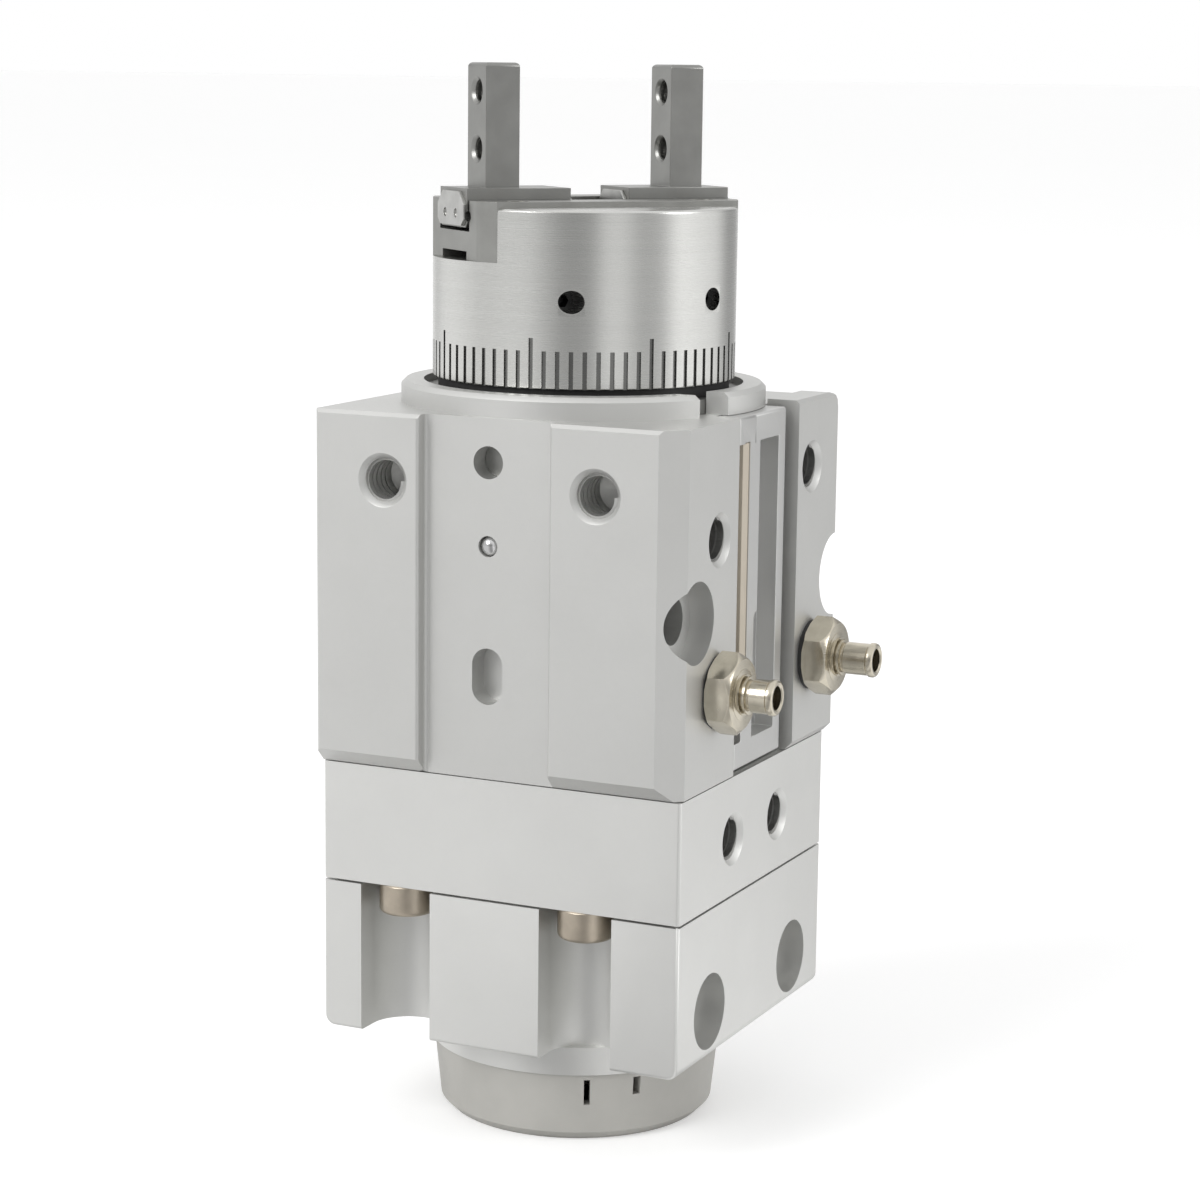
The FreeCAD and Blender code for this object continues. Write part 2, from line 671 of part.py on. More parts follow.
def make_fitting(label, x, y):
    """Turned barb fitting with its hexagon, shank in the body, axis along X."""
    body = new_body(label)
    shank = S.shank_length
    hex_top = shank + S.gasket_thickness + S.hex_length
    tip = hex_top + S.barb_length
    bore = S.fitting_bore
    turned(body, [(bore, ZERO), (S.port_radius - 0.05, ZERO), (S.port_radius - 0.05, shank), (S.stem_radius, shank),
                  (S.stem_radius, hex_top + 1.0), (S.barb_radius, hex_top + 1.3), (S.barb_radius - 0.1, tip - 0.6),
                  (S.barb_radius - 0.5, tip), (bore, tip)])
    flats = body.newObject("PartDesign::AdditivePrism", "hexagon")
    flats.Polygon = 6
    bind(flats, "Circumradius", S.hex_across / math.sqrt(3))
    bind(flats, "Height", S.hex_length)
    place(flats, (0, 0, shank + S.gasket_thickness), TURN["z"])
    round_bar(body, (0, 0, shank), "z", S.stem_radius + 0.4, S.gasket_thickness, cut=False)
    dress(body, "Chamfer", 0.3, lambda e: level(e, hex_top.value) and len(e.Vertexes) == 2
          and abs(math.hypot(e.CenterOfMass.x, e.CenterOfMass.y) - S.hex_across.value / 2) < 1e-3)
    round_bar(body, (0, 0, 0), "z", bore, tip)
    place(body, (x - shank, y, MAIN_FOOT + S.fitting_rise), TURN["x"])
    keep(body)
    gasket = new_body(label.replace("fitting", "gasket"))
    turned(gasket, [(S.stem_radius + 0.45, ZERO), (S.hex_across / 2, ZERO), (S.hex_across / 2, S.gasket_thickness),
                    (S.stem_radius + 0.45, S.gasket_thickness)])
    place(gasket, (x, y, MAIN_FOOT + S.fitting_rise), TURN["x"])
    return gasket


def make_cap_screw(name, head, x, y, z, axis):
    """Socket head screw, head foot at z."""
    body = new_body(name)
    h = S.screw_head_height
    turned(body, [(ZERO, ZERO), (S.screw_head_radius - 0.3, ZERO), (S.screw_head_radius, Size(0.3, "0.3")),
                  (S.screw_head_radius, h), (S.screw_radius, h), (S.screw_radius, h + head), (ZERO, h + head)])
    socket = body.newObject("PartDesign::SubtractivePrism", "socket")
    socket.Polygon = 6
    bind(socket, "Circumradius", S.screw_socket)
    bind(socket, "Height", h / 2)
    place(body, (x, y, z), TURN[axis])
    return body


def make_ring(label, inner, outer, low, high):
    body = new_body(label)
    turned(body, [(inner, low), (outer, low), (outer, high), (inner, high)])
    return body


def make_torus(name, radius, minor, height):
    """Ring of round section about the axis."""
    ring = doc.addObject("Part::Torus", name)
    bind(ring, "Radius1", radius)
    bind(ring, "Radius2", minor)
    place(ring, (0, 0, height), Rotation(Vector(0, 0, 1), 90))
    return ring


def make_balls(label, centres, radius, turn_with_head=False):
    balls = []
    for centre in centres:
        ball = doc.addObject("Part::Sphere", "ball")
        bind(ball, "Radius", radius)
        place(ball, centre)
        balls.append(ball)
    return group(label, balls, turn_with_head)


def make_bearing():
    """Ball bearing that carries the turning sleeve."""
    outer, inner = S.bearing_radius - 0.02, S.sleeve_radius + 0.02
    low, high = BEARING_FOOT, BEARING_TOP
    middle = (low + high) / 2
    track = (outer + inner) / 2
    ball = S.bearing_ball_radius
    for label, wall, edge, turning in (("bearing_outer_ring", outer - S.race_wall, outer, False),
                                       ("bearing_inner_ring", inner, inner + S.race_wall, True)):
        groove = make_torus("track", track, ball + 0.03, middle)
        race = doc.addObject("Part::Cut", label)
        race.Base = make_ring("race", wall, edge, low, high)
        race.Tool = groove
        keep(race, label, turning)
    count = 12
    centres = []
    for i in range(count):
        angle = 2 * math.pi * i / count
        centres.append((track * math.cos(angle), track * math.sin(angle), middle))
    make_balls("bearing_balls", centres, ball)


def make_vane_drive():
    """Vane shaft in its bushes, fixed shoe and the signal arm under the cap."""
    gap = S.running_gap / 2
    body = new_body("vane_shaft")
    foot = S.cap_wall + S.arm_rise
    drive_foot = SLEEVE_FOOT - S.running_gap
    turned(body, [(ZERO, foot), (S.journal_radius - gap, foot), (S.journal_radius - gap, CHAMBER_FOOT + gap),
                  (S.hub_radius - gap, CHAMBER_FOOT + gap), (S.hub_radius - gap, CHAMBER_TOP - gap),
                  (S.neck_radius - gap, CHAMBER_TOP - gap), (S.neck_radius - gap, drive_foot), (ZERO, drive_foot)])
    reach = S.chamber_radius - gap - S.vane_seal_depth
    vane = body.newObject("PartDesign::AdditiveBox", "vane")
    half_turn = Rotation(Vector(0, 0, 1), 45)
    bind(vane, "Length", reach)
    bind(vane, "Width", S.vane_thickness)
    bind(vane, "Height", S.chamber_height - 2 * gap)
    start = half_turn.multVec(Vector(0, -S.vane_thickness.value / 2, 0))
    vane.Placement = Placement(Vector(start.x, start.y, (CHAMBER_FOOT + gap).value), half_turn)
    drive = body.newObject("PartDesign::AdditivePrism", "drive")
    drive.Polygon = 6
    bind(drive, "Circumradius", S.drive_radius)
    bind(drive, "Height", S.drive_length + S.running_gap)
    place(drive, (0, 0, drive_foot))
    keep(body, turn_with_head=True)

    strip = doc.addObject("Part::Box", "seal_strip")
    bind(strip, "Length", 2 * S.vane_seal_depth)
    bind(strip, "Width", S.vane_thickness)
    bind(strip, "Height", S.chamber_height - 2 * gap)
    start = half_turn.multVec(Vector(reach.value, -S.vane_thickness.value / 2, 0))
    strip.Placement = Placement(Vector(start.x, start.y, (CHAMBER_FOOT + gap).value), half_turn)
    swept = doc.addObject("Part::Cylinder", "seal_sweep")
    bind(swept, "Radius", S.chamber_radius - gap)
    bind(swept, "Height", S.chamber_height)
    place(swept, (0, 0, CHAMBER_FOOT))
    seal = doc.addObject("Part::Common", "vane_seal")
    seal.Base = strip
    seal.Tool = swept
    keep(seal, "vane_seal", True)

    # fixed shoe that stops the vane at either end of its swing
    sector = doc.addObject("Part::Cylinder", "shoe_sector")
    bind(sector, "Radius", S.chamber_radius - 0.02)
    bind(sector, "Height", S.chamber_height)
    bind(sector, "Angle", 2 * S.shoe_half_angle)
    turn = Rotation(Vector(0, 0, 1), 90 - S.shoe_half_angle.value)
    sector.Placement = Placement(Vector(0, 0, CHAMBER_FOOT.value), turn)
    bind(sector, "Placement.Base.z", CHAMBER_FOOT)
    core = doc.addObject("Part::Cylinder", "shoe_core")
    bind(core, "Radius", S.hub_radius + gap)
    bind(core, "Height", S.chamber_height + 2)
    place(core, (0, 0, CHAMBER_FOOT - 1))
    shoe = doc.addObject("Part::Cut", "vane_shoe")
    shoe.Base = sector
    shoe.Tool = core
    keep(shoe, "vane_shoe")

    for label, radius, low, high in (
            ("lower_bush", S.journal_radius, BOSS_FOOT + 0.2, BOSS_FOOT + S.bush_length),
            ("upper_bush", S.neck_radius, CHAMBER_TOP + 0.1, MAIN_FOOT - 0.2)):
        keep(make_ring(label, radius + gap, radius + S.bush_wall, low, high))

    arm = new_body("signal_arm")
    low = S.cap_wall + S.arm_rise
    turned(arm, [(S.journal_radius - gap, low), (S.journal_radius + 1.5, low),
                 (S.journal_radius + 1.5, low + S.arm_thickness), (S.journal_radius - gap, low + S.arm_thickness)])
    block(arm, (S.journal_radius + 0.5, -S.magnet_radius - 0.4, low),
          (S.arm_reach, S.magnet_radius + 0.4, low + S.arm_thickness))
    keep(arm, turn_with_head=True)
    magnet = doc.addObject("Part::Cylinder", "magnet_disc")
    bind(magnet, "Radius", S.magnet_radius)
    bind(magnet, "Height", S.magnet_height)
    place(magnet, (S.arm_reach - S.magnet_radius - 0.3, 0, low + S.arm_thickness))
    group("signal_magnet", [magnet], True)


def make_sleeve():
    """Turning sleeve: cylinder of the jaw piston, closed below, with a neck for the head."""
    body = new_body("rotor_sleeve")
    floor = SLEEVE_FOOT + S.sleeve_floor
    neck = HEAD_FOOT + S.neck_fit_height
    cover_top = MAIN_FOOT + S.rod_cover_rise + S.rod_cover_thickness
    ring_top = cover_top + S.snap_ring_thickness
    turned(body, [(ZERO, SLEEVE_FOOT), (S.sleeve_radius, SLEEVE_FOOT), (S.sleeve_radius, HEAD_FOOT),
                  (S.neck_fit_radius, HEAD_FOOT), (S.neck_fit_radius, neck), (S.bore_radius, neck),
                  (S.bore_radius, ring_top), (S.snap_ring_radius, ring_top), (S.snap_ring_radius, cover_top),
                  (S.bore_radius, cover_top), (S.bore_radius, floor), (ZERO, floor)])
    socket = body.newObject("PartDesign::SubtractivePrism", "socket")
    socket.Polygon = 6
    bind(socket, "Circumradius", S.drive_radius + 0.03)
    bind(socket, "Height", S.drive_length + 0.2)
    place(socket, (0, 0, SLEEVE_FOOT))
    keep(body, turn_with_head=True)

    cover_foot = MAIN_FOOT + S.rod_cover_rise
    cover = make_ring("rod_cover", S.rod_radius + 0.05, S.bore_radius - 0.02, cover_foot, cover_top)
    high = cover_top - S.rod_groove_drop
    low = high - S.rod_groove_height
    deep = S.rod_radius + S.rod_groove_depth
    turned(cover, [(S.rod_radius, low), (deep, low), (deep, high), (S.rod_radius, high)], cut=True)
    keep(cover, turn_with_head=True)
    packing = make_torus("rod_ring", S.rod_radius + S.rod_groove_depth / 2, S.packing_radius, (low + high) / 2)
    group("rod_packing", [packing], True)
    ring = make_ring("snap_ring", S.bore_radius - 1.6, S.snap_ring_radius - 0.05, cover_top, ring_top)
    keep(ring, turn_with_head=True)


def make_piston():
    """Jaw piston with its rod, whose grooved end works both levers."""
    foot = MAIN_FOOT + S.piston_rise
    top = foot + S.piston_length
    rise = S.lever_reach * math.sin(math.radians(LEVER_SWING))
    groove = PIVOT_HEIGHT + rise
    low = groove - S.spool_groove / 2
    high = groove + S.spool_groove / 2
    rod = new_body("piston_rod")
    r = S.rod_radius
    tail = foot - S.piston_magnet_height - S.nut_height
    turned(rod, [(ZERO, tail), (r - 0.5, tail), (r - 0.5, top - 1), (r, top - 1), (r, low - S.spool_flange),
                 (S.spool_radius, low - S.spool_flange), (S.spool_radius, low), (S.spool_core, low),
                 (S.spool_core, high), (S.spool_radius, high), (S.spool_radius, high + S.spool_flange),
                 (ZERO, high + S.spool_flange)])
    keep(rod, turn_with_head=True)
    piston = new_body("jaw_piston")
    edge = S.bore_radius - 0.05
    groove_foot = foot + S.piston_length / 2
    groove_depth = edge - 2 * S.packing_radius
    turned(piston, [(r - 0.48, foot), (edge, foot), (edge, groove_foot - S.packing_radius - 0.05),
                    (groove_depth, groove_foot - S.packing_radius - 0.05),
                    (groove_depth, groove_foot + S.packing_radius + 0.05),
                    (edge, groove_foot + S.packing_radius + 0.05), (edge, top), (r + 0.05, top), (r + 0.05, top - 1),
                    (r - 0.48, top - 1)])
    keep(piston, turn_with_head=True)
    seat = groove_depth + S.packing_radius + 0.02
    group("piston_packing", [make_torus("piston_ring", seat, S.packing_radius - 0.03, groove_foot)], True)
    keep(make_ring("piston_magnet", r - 0.45, S.piston_magnet_radius, foot - S.piston_magnet_height, foot),
         turn_with_head=True)
    nut = new_body("piston_nut")
    flats = nut.newObject("PartDesign::AdditivePrism", "flats")
    flats.Polygon = 6
    bind(flats, "Circumradius", S.nut_radius)
    bind(flats, "Height", S.nut_height)
    place(flats, (0, 0, tail))
    round_bar(nut, (0, 0, tail), "z", r - 0.48, S.nut_height)
    keep(nut, turn_with_head=True)


def make_head():
    """Turned head with the guide slot across the top and the lever room below it."""
    body = new_body("rotary_head")
    r, e = S.head_radius, S.head_edge
    turned(body, [(ZERO, HEAD_FOOT), (r - e / 2, HEAD_FOOT), (r, HEAD_FOOT + e / 2), (r, HEAD_TOP - e),
                  (r - e, HEAD_TOP), (ZERO, HEAD_TOP)])
    block(body, (-r, -S.guide_half_width, GUIDE_FOOT), (r, S.guide_half_width, HEAD_TOP), cut=True)
    block(body, (-S.lever_cavity_reach, -S.lever_cavity_half, HEAD_FOOT),
          (S.lever_cavity_reach, S.lever_cavity_half, GUIDE_FOOT), cut=True)
    round_bar(body, (0, 0, HEAD_FOOT), "z", S.neck_fit_radius + 0.02, S.neck_fit_height + 0.1)
    round_bar(body, (0, 0, HEAD_FOOT), "z", S.spool_radius + 0.4, S.head_height)
    for sign in (-1, 1):
        x = sign * S.pivot_offset
        round_bar(body, (x, -r, PIVOT_HEIGHT), "y", S.pin_radius + 0.02, 2 * r)
        edge = r * math.sqrt(1 - (S.pivot_offset.value / S.head_radius.value) ** 2)
        for side, axis in ((-1, "y"), (1, "-y")):
            round_bar(body, (x, side * r, PIVOT_HEIGHT), axis, S.plug_radius + 0.02,
                      r - edge + S.plug_sink + S.plug_length)
    keep(body, turn_with_head=True)

    pins, plugs = [], []
    for sign in (-1, 1):
        x = sign * S.pivot_offset
        pin = new_body("pin")
        half = edge - S.plug_sink - S.plug_length - 0.2
        round_bar(pin, (x, -half, PIVOT_HEIGHT), "y", S.pin_radius, 2 * half, cut=False)
        pins.append(pin)
        for side, axis in ((-1, "y"), (1, "-y")):
            plug = new_body("plug")
            start = edge - S.plug_sink
            round_bar(plug, (x, side * start, PIVOT_HEIGHT), axis, S.plug_radius, S.plug_length - 0.05,
                      cut=False)
            socket = plug.newObject("PartDesign::SubtractivePrism", "socket")
            socket.Polygon = 6
            bind(socket, "Circumradius", S.plug_radius * 0.55)
            bind(socket, "Height", S.plug_radius)
            place(socket, (x, side * start, PIVOT_HEIGHT), TURN[axis])
            plugs.append(plug)
    group("lever_pins", pins, True)
    group("pin_plugs", plugs, True)


def make_guide():
    """Steel guide block across the head: channel for both sliders, rounded to the head at its corners."""
    bar = doc.addObject("Part::Box", "guide_bar")
    bind(bar, "Length", 2 * S.guide_half_length)
    bind(bar, "Width", 2 * S.guide_half_width - 0.04)
    bind(bar, "Height", GUIDE_TOP - GUIDE_FOOT)
    place(bar, (-S.guide_half_length, -S.guide_half_width + 0.02, GUIDE_FOOT))
    disc = doc.addObject("Part::Cylinder", "guide_disc")
    bind(disc, "Radius", S.head_radius)
    bind(disc, "Height", S.head_height)
    place(disc, (0, 0, GUIDE_FOOT))
    stock = doc.addObject("Part::Common", "guide_stock")
    stock.Base = bar
    stock.Tool = disc
    tools = []

    def cutter(low, high):
        tool = doc.addObject("Part::Box", "guide_cut")
        for name, a, b in zip(("Length", "Width", "Height"), low, high):
            bind(tool, name, size(b) - size(a))
        place(tool, low)
        tools.append(tool)

    long = S.head_radius
    cutter((-long, -S.channel_half, CHANNEL_FLOOR), (long, S.channel_half, GUIDE_TOP + 1))
    cutter((-long, -S.guide_relief_half, GUIDE_FOOT - 1), (long, S.guide_relief_half, GUIDE_FOOT + S.guide_relief))
    window = S.finger_stroke / 2 + S.lever_tip_radius + 0.25
    for sign in (-1, 1):
        x = sign * S.pivot_offset
        cutter((x - window, -S.lever_cavity_half, GUIDE_FOOT), (x + window, S.lever_cavity_half, CHANNEL_FLOOR + 1))
    for sign in (-1, 1):
        track = doc.addObject("Part::Cylinder", "guide_track")
        bind(track, "Radius", S.ball_track_radius)
        bind(track, "Height", 2 * long)
        place(track, (-long, sign * BALL_LINE, BALL_HEIGHT), TURN["x"])
        tools.append(track)
    for sx in (-1, 1):
        for sy in (-1, 1):
            hole = doc.addObject("Part::Cylinder", "guide_hole")
            bind(hole, "Radius", S.pin_radius + 0.1)
            bind(hole, "Height", GUIDE_TOP - GUIDE_FOOT)
            place(hole, (sx * GUIDE_SCREW_X, sy * GUIDE_SCREW_Y, GUIDE_FOOT))
            tools.append(hole)
    fused = doc.addObject("Part::MultiFuse", "guide_tools")
    fused.Shapes = tools
    guide = doc.addObject("Part::Cut", "finger_guide")
    guide.Base = stock
    guide.Tool = fused
    keep(guide, "finger_guide", True)

    screws = []
    for sx in (-1, 1):
        for sy in (-1, 1):
            screw = new_body("guide_screw")
            at = (sx * GUIDE_SCREW_X, sy * GUIDE_SCREW_Y, GUIDE_FOOT + 0.02)
            round_bar(screw, at, "z", S.pin_radius, GUIDE_TOP - GUIDE_FOOT - 0.2, cut=False)
            screws.append(screw)
    group("guide_screws", screws, True)
    for label, side in (("guide_balls_left", 1), ("guide_balls_right", -1)):
        balls = []
        for sy in (-1, 1):
            for step in (0.25, 0.42, 0.59, 0.76):
                x = S.slider_inner + (S.slider_outer - S.slider_inner) * step
                balls.append((side * x, sy * BALL_LINE, BALL_HEIGHT))
        make_balls(label, balls, S.guide_ball_radius, True)


def make_finger(label, sign):
    """Finger with its slider: sign gives the side of the axis."""
    body = new_body(label)

    def span(inner, outer):
        return (inner, outer) if sign > 0 else (-outer, -inner)

    x0, x1 = span(S.slider_inner, S.slider_outer)
    h = S.slider_half_width
    c = S.finger_edge
    section = [(-h + c, SLIDER_FOOT), (h - c, SLIDER_FOOT), (h, SLIDER_FOOT + c), (h, SLIDER_TOP),
               (-h, SLIDER_TOP), (-h, SLIDER_FOOT + c)]
    pad(body, "YZ_Plane", section, x0, x1 - x0)
    f0, f1 = span(S.finger_inner, S.finger_inner + S.finger_thickness)
    block(body, (f0, -S.finger_half_width, SLIDER_TOP - 0.5), (f1, S.finger_half_width, SLIDER_TOP + S.finger_height))
    body.Tip = body.Group[-1]
    top = (SLIDER_TOP + S.finger_height).value
    dress(body, "Fillet", c, lambda e: level(e, top))
    # tapped holes that carry the attachments
    for step in (0, 1):
        z = SLIDER_TOP + S.finger_hole_low + step * S.finger_hole_pitch
        round_bar(body, (f0, 0, z), "x", S.finger_hole_radius, S.finger_thickness)
        depth = S.finger_hole_sink - S.finger_hole_radius
        sink(body, (f0, 0, z), "x", S.finger_hole_sink, S.finger_hole_radius, depth)
        sink(body, (f1, 0, z), "-x", S.finger_hole_sink, S.finger_hole_radius, depth)
    # notch for the lever tip and tracks for the balls
    notch = sign * (S.pivot_offset + S.finger_stroke / 2)
    half = S.lever_tip_radius + S.lever_clearance
    block(body, (notch - half, -S.lever_cavity_half, SLIDER_FOOT),
          (notch + half, S.lever_cavity_half, SLIDER_FOOT + S.finger_notch_height), cut=True)
    for side in (-1, 1):
        round_bar(body, (x0, side * BALL_LINE, BALL_HEIGHT), "x", S.ball_track_radius, x1 - x0)
    keep(body, turn_with_head=True)

    plates = []
    q = h - S.plate_inset
    low, high = SLIDER_FOOT + S.plate_inset, SLIDER_TOP - S.plate_drop
    k = S.plate_corner
    shape = [(-q + k / 2, low), (q - k / 2, low), (q, low + k / 2), (q, high - k), (q - k, high), (-q + k, high),
             (-q, high - k), (-q, low + k / 2)]
    for inner, outer in ((S.slider_inner - S.plate_thickness, S.slider_inner),
                         (S.slider_outer, S.slider_outer + S.plate_thickness)):
        p0, p1 = span(inner, outer)
        plate = new_body("end_plate")
        pad(plate, "YZ_Plane", shape, p0, p1 - p0)
        plates.append(plate)
    group(label.replace("finger", "end_plates"), plates, True)


def make_lever(label, sign):
    """Bell crank between the rod end and the slider, drawn upright and then leaned outwards."""
    t = S.lever_half_thickness
    x = sign * S.pivot_offset
    end = sign * (S.pivot_offset - S.lever_reach)
    tip = PIVOT_HEIGHT + S.lever_arm

    def bar(low, high):
        piece = doc.addObject("Part::Box", "lever_bar")
        for name, a, b in zip(("Length", "Width", "Height"), low, high):
            bind(piece, name, size(b) - size(a))
        place(piece, low)
        return piece

    def boss(px, pz, radius, half):
        piece = doc.addObject("Part::Cylinder", "lever_boss")
        bind(piece, "Radius", radius)
        bind(piece, "Height", 2 * half)
        place(piece, (px, -half, pz), TURN["y"])
        return piece

    w = S.lever_width / 2
    first, last = (end, x) if sign > 0 else (x, end)
    solid = doc.addObject("Part::MultiFuse", "lever_stock")
    solid.Shapes = [
        boss(x, PIVOT_HEIGHT, S.lever_hub_radius, t),
        boss(x, tip, S.lever_tip_radius, t),
        boss(end, PIVOT_HEIGHT, S.lever_end_radius, t),
        bar((x - w, -t, PIVOT_HEIGHT), (x + w, t, tip)),
        bar((first, -t, PIVOT_HEIGHT - w + 0.1), (last, t, PIVOT_HEIGHT + w - 0.1)),
    ]
    lever = doc.addObject("Part::Cut", "lever")
    lever.Base = solid
    lever.Tool = boss(x, PIVOT_HEIGHT, S.pin_radius + 0.03, t + 1)
    lean = Rotation(Vector(0, 1, 0), sign * LEVER_SWING)
    pivot = Vector(x.value, 0, PIVOT_HEIGHT.value)
    lean_place = Placement(pivot - lean.multVec(pivot), lean)
    lever.Placement = lean_place
    group(label, [lever], True)


LEVER_SWING = math.degrees(math.asin(S.finger_stroke.value / 2 / S.lever_arm.value))
BALL_LINE = (S.slider_half_width + S.channel_half) / 2
BALL_HEIGHT = SLIDER_FOOT + S.ball_track_rise
GUIDE_SCREW_X = S.guide_half_length - S.guide_screw_inset
GUIDE_SCREW_Y = (S.channel_half + S.guide_half_width) / 2


def make_fixed_details():
    gaskets = [make_fitting("barb_fitting_near", S.half_width, -S.fitting_near),
               make_fitting("barb_fitting_far", SIDE, S.fitting_far)]
    group("fitting_gaskets", gaskets)
    make_balls("channel_ball", [(-S.pin_hole_offset, -S.half_depth + S.ball_radius * 0.8, MAIN_TOP - S.ball_drop)],
               S.ball_radius)
    clamps = []
    for x, sign in SCALLOPS:
        clamps.append(make_cap_screw("clamp_bolt", S.screw_length, x, sign * (S.half_depth - S.scallop_inset),
                                     MIDDLE_FOOT - S.screw_head_height, "z"))
    group("clamp_bolts", clamps)
    base = []
    for sign in (-1, 1):
        base.append(make_cap_screw("base_bolt", S.screw_length, sign * S.base_screw_offset, 0, LOWER_FOOT, "z"))
    group("base_bolts", base)
    keep(make_ring("bearing_cover", S.sleeve_radius + 0.6, RING_BORE - 0.05, COVER_FOOT, COVER_TOP))
    keep(make_ring("head_seal", SEAL_RADIUS - S.seal_width, SEAL_RADIUS, COVER_TOP, HEAD_FOOT - 0.1))
    middle = S.sleeve_radius + S.packing_radius + 0.02
    group("sleeve_packings", [make_torus("sleeve_ring", middle, S.packing_radius - 0.03, height)
                              for height in PACKING_LEVELS])


make_main_body()
make_middle_block()
make_lower_block()
make_bottom_cap()
make_switch_rail()
make_fixed_details()
make_bearing()
make_vane_drive()
make_sleeve()
make_piston()
make_head()
make_guide()
for side_name, side_sign in (("left", 1), ("right", -1)):
    make_finger(f"finger_{side_name}", side_sign)
    make_lever(f"lever_{side_name}", side_sign)
doc.recompute()

for thing in doc.Objects:
    if "Invalid" in thing.State or "Error" in thing.State:
        raise RuntimeError(f"{thing.Label}: {thing.State}")
for piece in parts:
    if piece.Shape.isNull() or not piece.Shape.isValid():
        raise RuntimeError(f"{piece.Label}: bad shape")

os.makedirs("parts", exist_ok=True)
for piece in parts:
    piece.Shape.exportStep(f"parts/{piece.Label}.step")
    print(piece.Label, len(piece.Shape.Solids), round(piece.Shape.Volume, 2))
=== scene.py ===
import json
import math
import bpy
from mathutils import Matrix, Vector


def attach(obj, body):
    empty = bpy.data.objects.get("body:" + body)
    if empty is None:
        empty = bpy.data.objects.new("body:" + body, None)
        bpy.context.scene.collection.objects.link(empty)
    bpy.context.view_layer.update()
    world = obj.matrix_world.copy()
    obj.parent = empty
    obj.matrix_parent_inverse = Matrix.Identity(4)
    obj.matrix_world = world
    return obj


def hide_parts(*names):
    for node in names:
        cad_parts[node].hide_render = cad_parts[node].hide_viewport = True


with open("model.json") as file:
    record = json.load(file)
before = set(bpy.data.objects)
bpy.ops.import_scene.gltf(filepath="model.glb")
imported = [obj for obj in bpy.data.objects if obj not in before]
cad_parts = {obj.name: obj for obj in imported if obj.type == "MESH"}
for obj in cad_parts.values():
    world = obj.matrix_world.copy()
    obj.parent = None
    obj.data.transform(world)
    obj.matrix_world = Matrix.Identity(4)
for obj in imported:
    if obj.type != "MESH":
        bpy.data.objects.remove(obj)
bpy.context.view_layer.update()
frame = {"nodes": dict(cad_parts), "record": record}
MM = 0.001

# the object's sizes are written in millimetres, those of the studio in metres
MAIN_FOOT, LOWER_TOP = 36.6, 24.8
HEAD_RADIUS, HEAD_FOOT, HEAD_TOP = 14.75, 73.8, 90.15
MARK_RISE, LONG_MARK_RISE = 3.3, 4.5
LIP_DROP = 0.24

# shares of the written colour on the two lower blocks and of the painted shade in the marks; strengths of the
# floor and of the world
LOWER_BLOCKS_LIGHTER, MARK_PAINTED_SHADE = 1.15, 0.3
FLOOR_LIFT, EVEN_LIGHT = 0.3, 0.75

# the camera of the photograph: turned about the axis, tipped down, and leaned a little
CAMERA_TURN = math.radians(25.33)
CAMERA_TIP = math.radians(10.0)
CAMERA_LEAN = math.radians(0.69)
CAMERA_PLACE = Vector((0.12734, -0.26470, 0.1030))
CAMERA_LENS = 90.35


def alone(piece):
    """Makes the piece the only selected and active object."""
    bpy.ops.object.select_all(action="DESELECT")
    piece.select_set(True)
    bpy.context.view_layer.objects.active = piece


def apply_modifier(piece, kind, **settings):
    modifier = piece.modifiers.new(kind.lower(), kind)
    for name, value in settings.items():
        setattr(modifier, name, value)
    alone(piece)
    bpy.ops.object.modifier_apply(modifier=modifier.name)


def bevel(piece, width, segments=2, angle=30):
    """Eases every edge sharper than the angle."""
    apply_modifier(piece, "BEVEL", width=width, segments=segments, limit_method="ANGLE",
                   angle_limit=math.radians(angle), use_clamp_overlap=True, harden_normals=False,
                   miter_outer="MITER_ARC")


def smooth(piece, angle=35):
    alone(piece)
    bpy.ops.object.shade_smooth_by_angle(angle=math.radians(angle))


def even_out(piece, angle=35):
    """Smooth shading that leaves flat faces flat beside their eased edges."""
    smooth(piece, angle)
    apply_modifier(piece, "WEIGHTED_NORMAL", keep_sharp=True, weight=50)


def pick_edges(piece, test):
    """Edit mode with just the edges whose two ends pass the test, in millimetres."""
    alone(piece)
    bpy.ops.object.mode_set(mode="EDIT")
    bpy.ops.mesh.select_mode(type="EDGE")
    bpy.ops.mesh.select_all(action="DESELECT")
    bpy.ops.object.mode_set(mode="OBJECT")
    corners = [v.co / MM for v in piece.data.vertices]
    for edge in piece.data.edges:
        edge.select = test(corners[edge.vertices[0]], corners[edge.vertices[1]])
    bpy.ops.object.mode_set(mode="EDIT")


def round_edges(piece, width, test, segments=4):
    pick_edges(piece, test)
    bpy.ops.mesh.bevel(offset=width * MM, segments=segments, affect="EDGES", clamp_overlap=True)
    bpy.ops.object.mode_set(mode="OBJECT")


def box(name, low, high):
    """Block between two corners given in millimetres."""
    middle = [(a + b) / 2 * MM for a, b in zip(low, high)]
    bpy.ops.object.select_all(action="DESELECT")
    bpy.ops.mesh.primitive_cube_add(size=1, location=middle)
    piece = bpy.context.object
    piece.name = name
    piece.scale = [(b - a) * MM for a, b in zip(low, high)]
    settle(piece)
    return piece


TURNS = {"z": (0, 0, 0), "x": (0, math.pi / 2, 0), "-x": (0, -math.pi / 2, 0), "y": (-math.pi / 2, 0, 0),
         "-y": (math.pi / 2, 0, 0)}


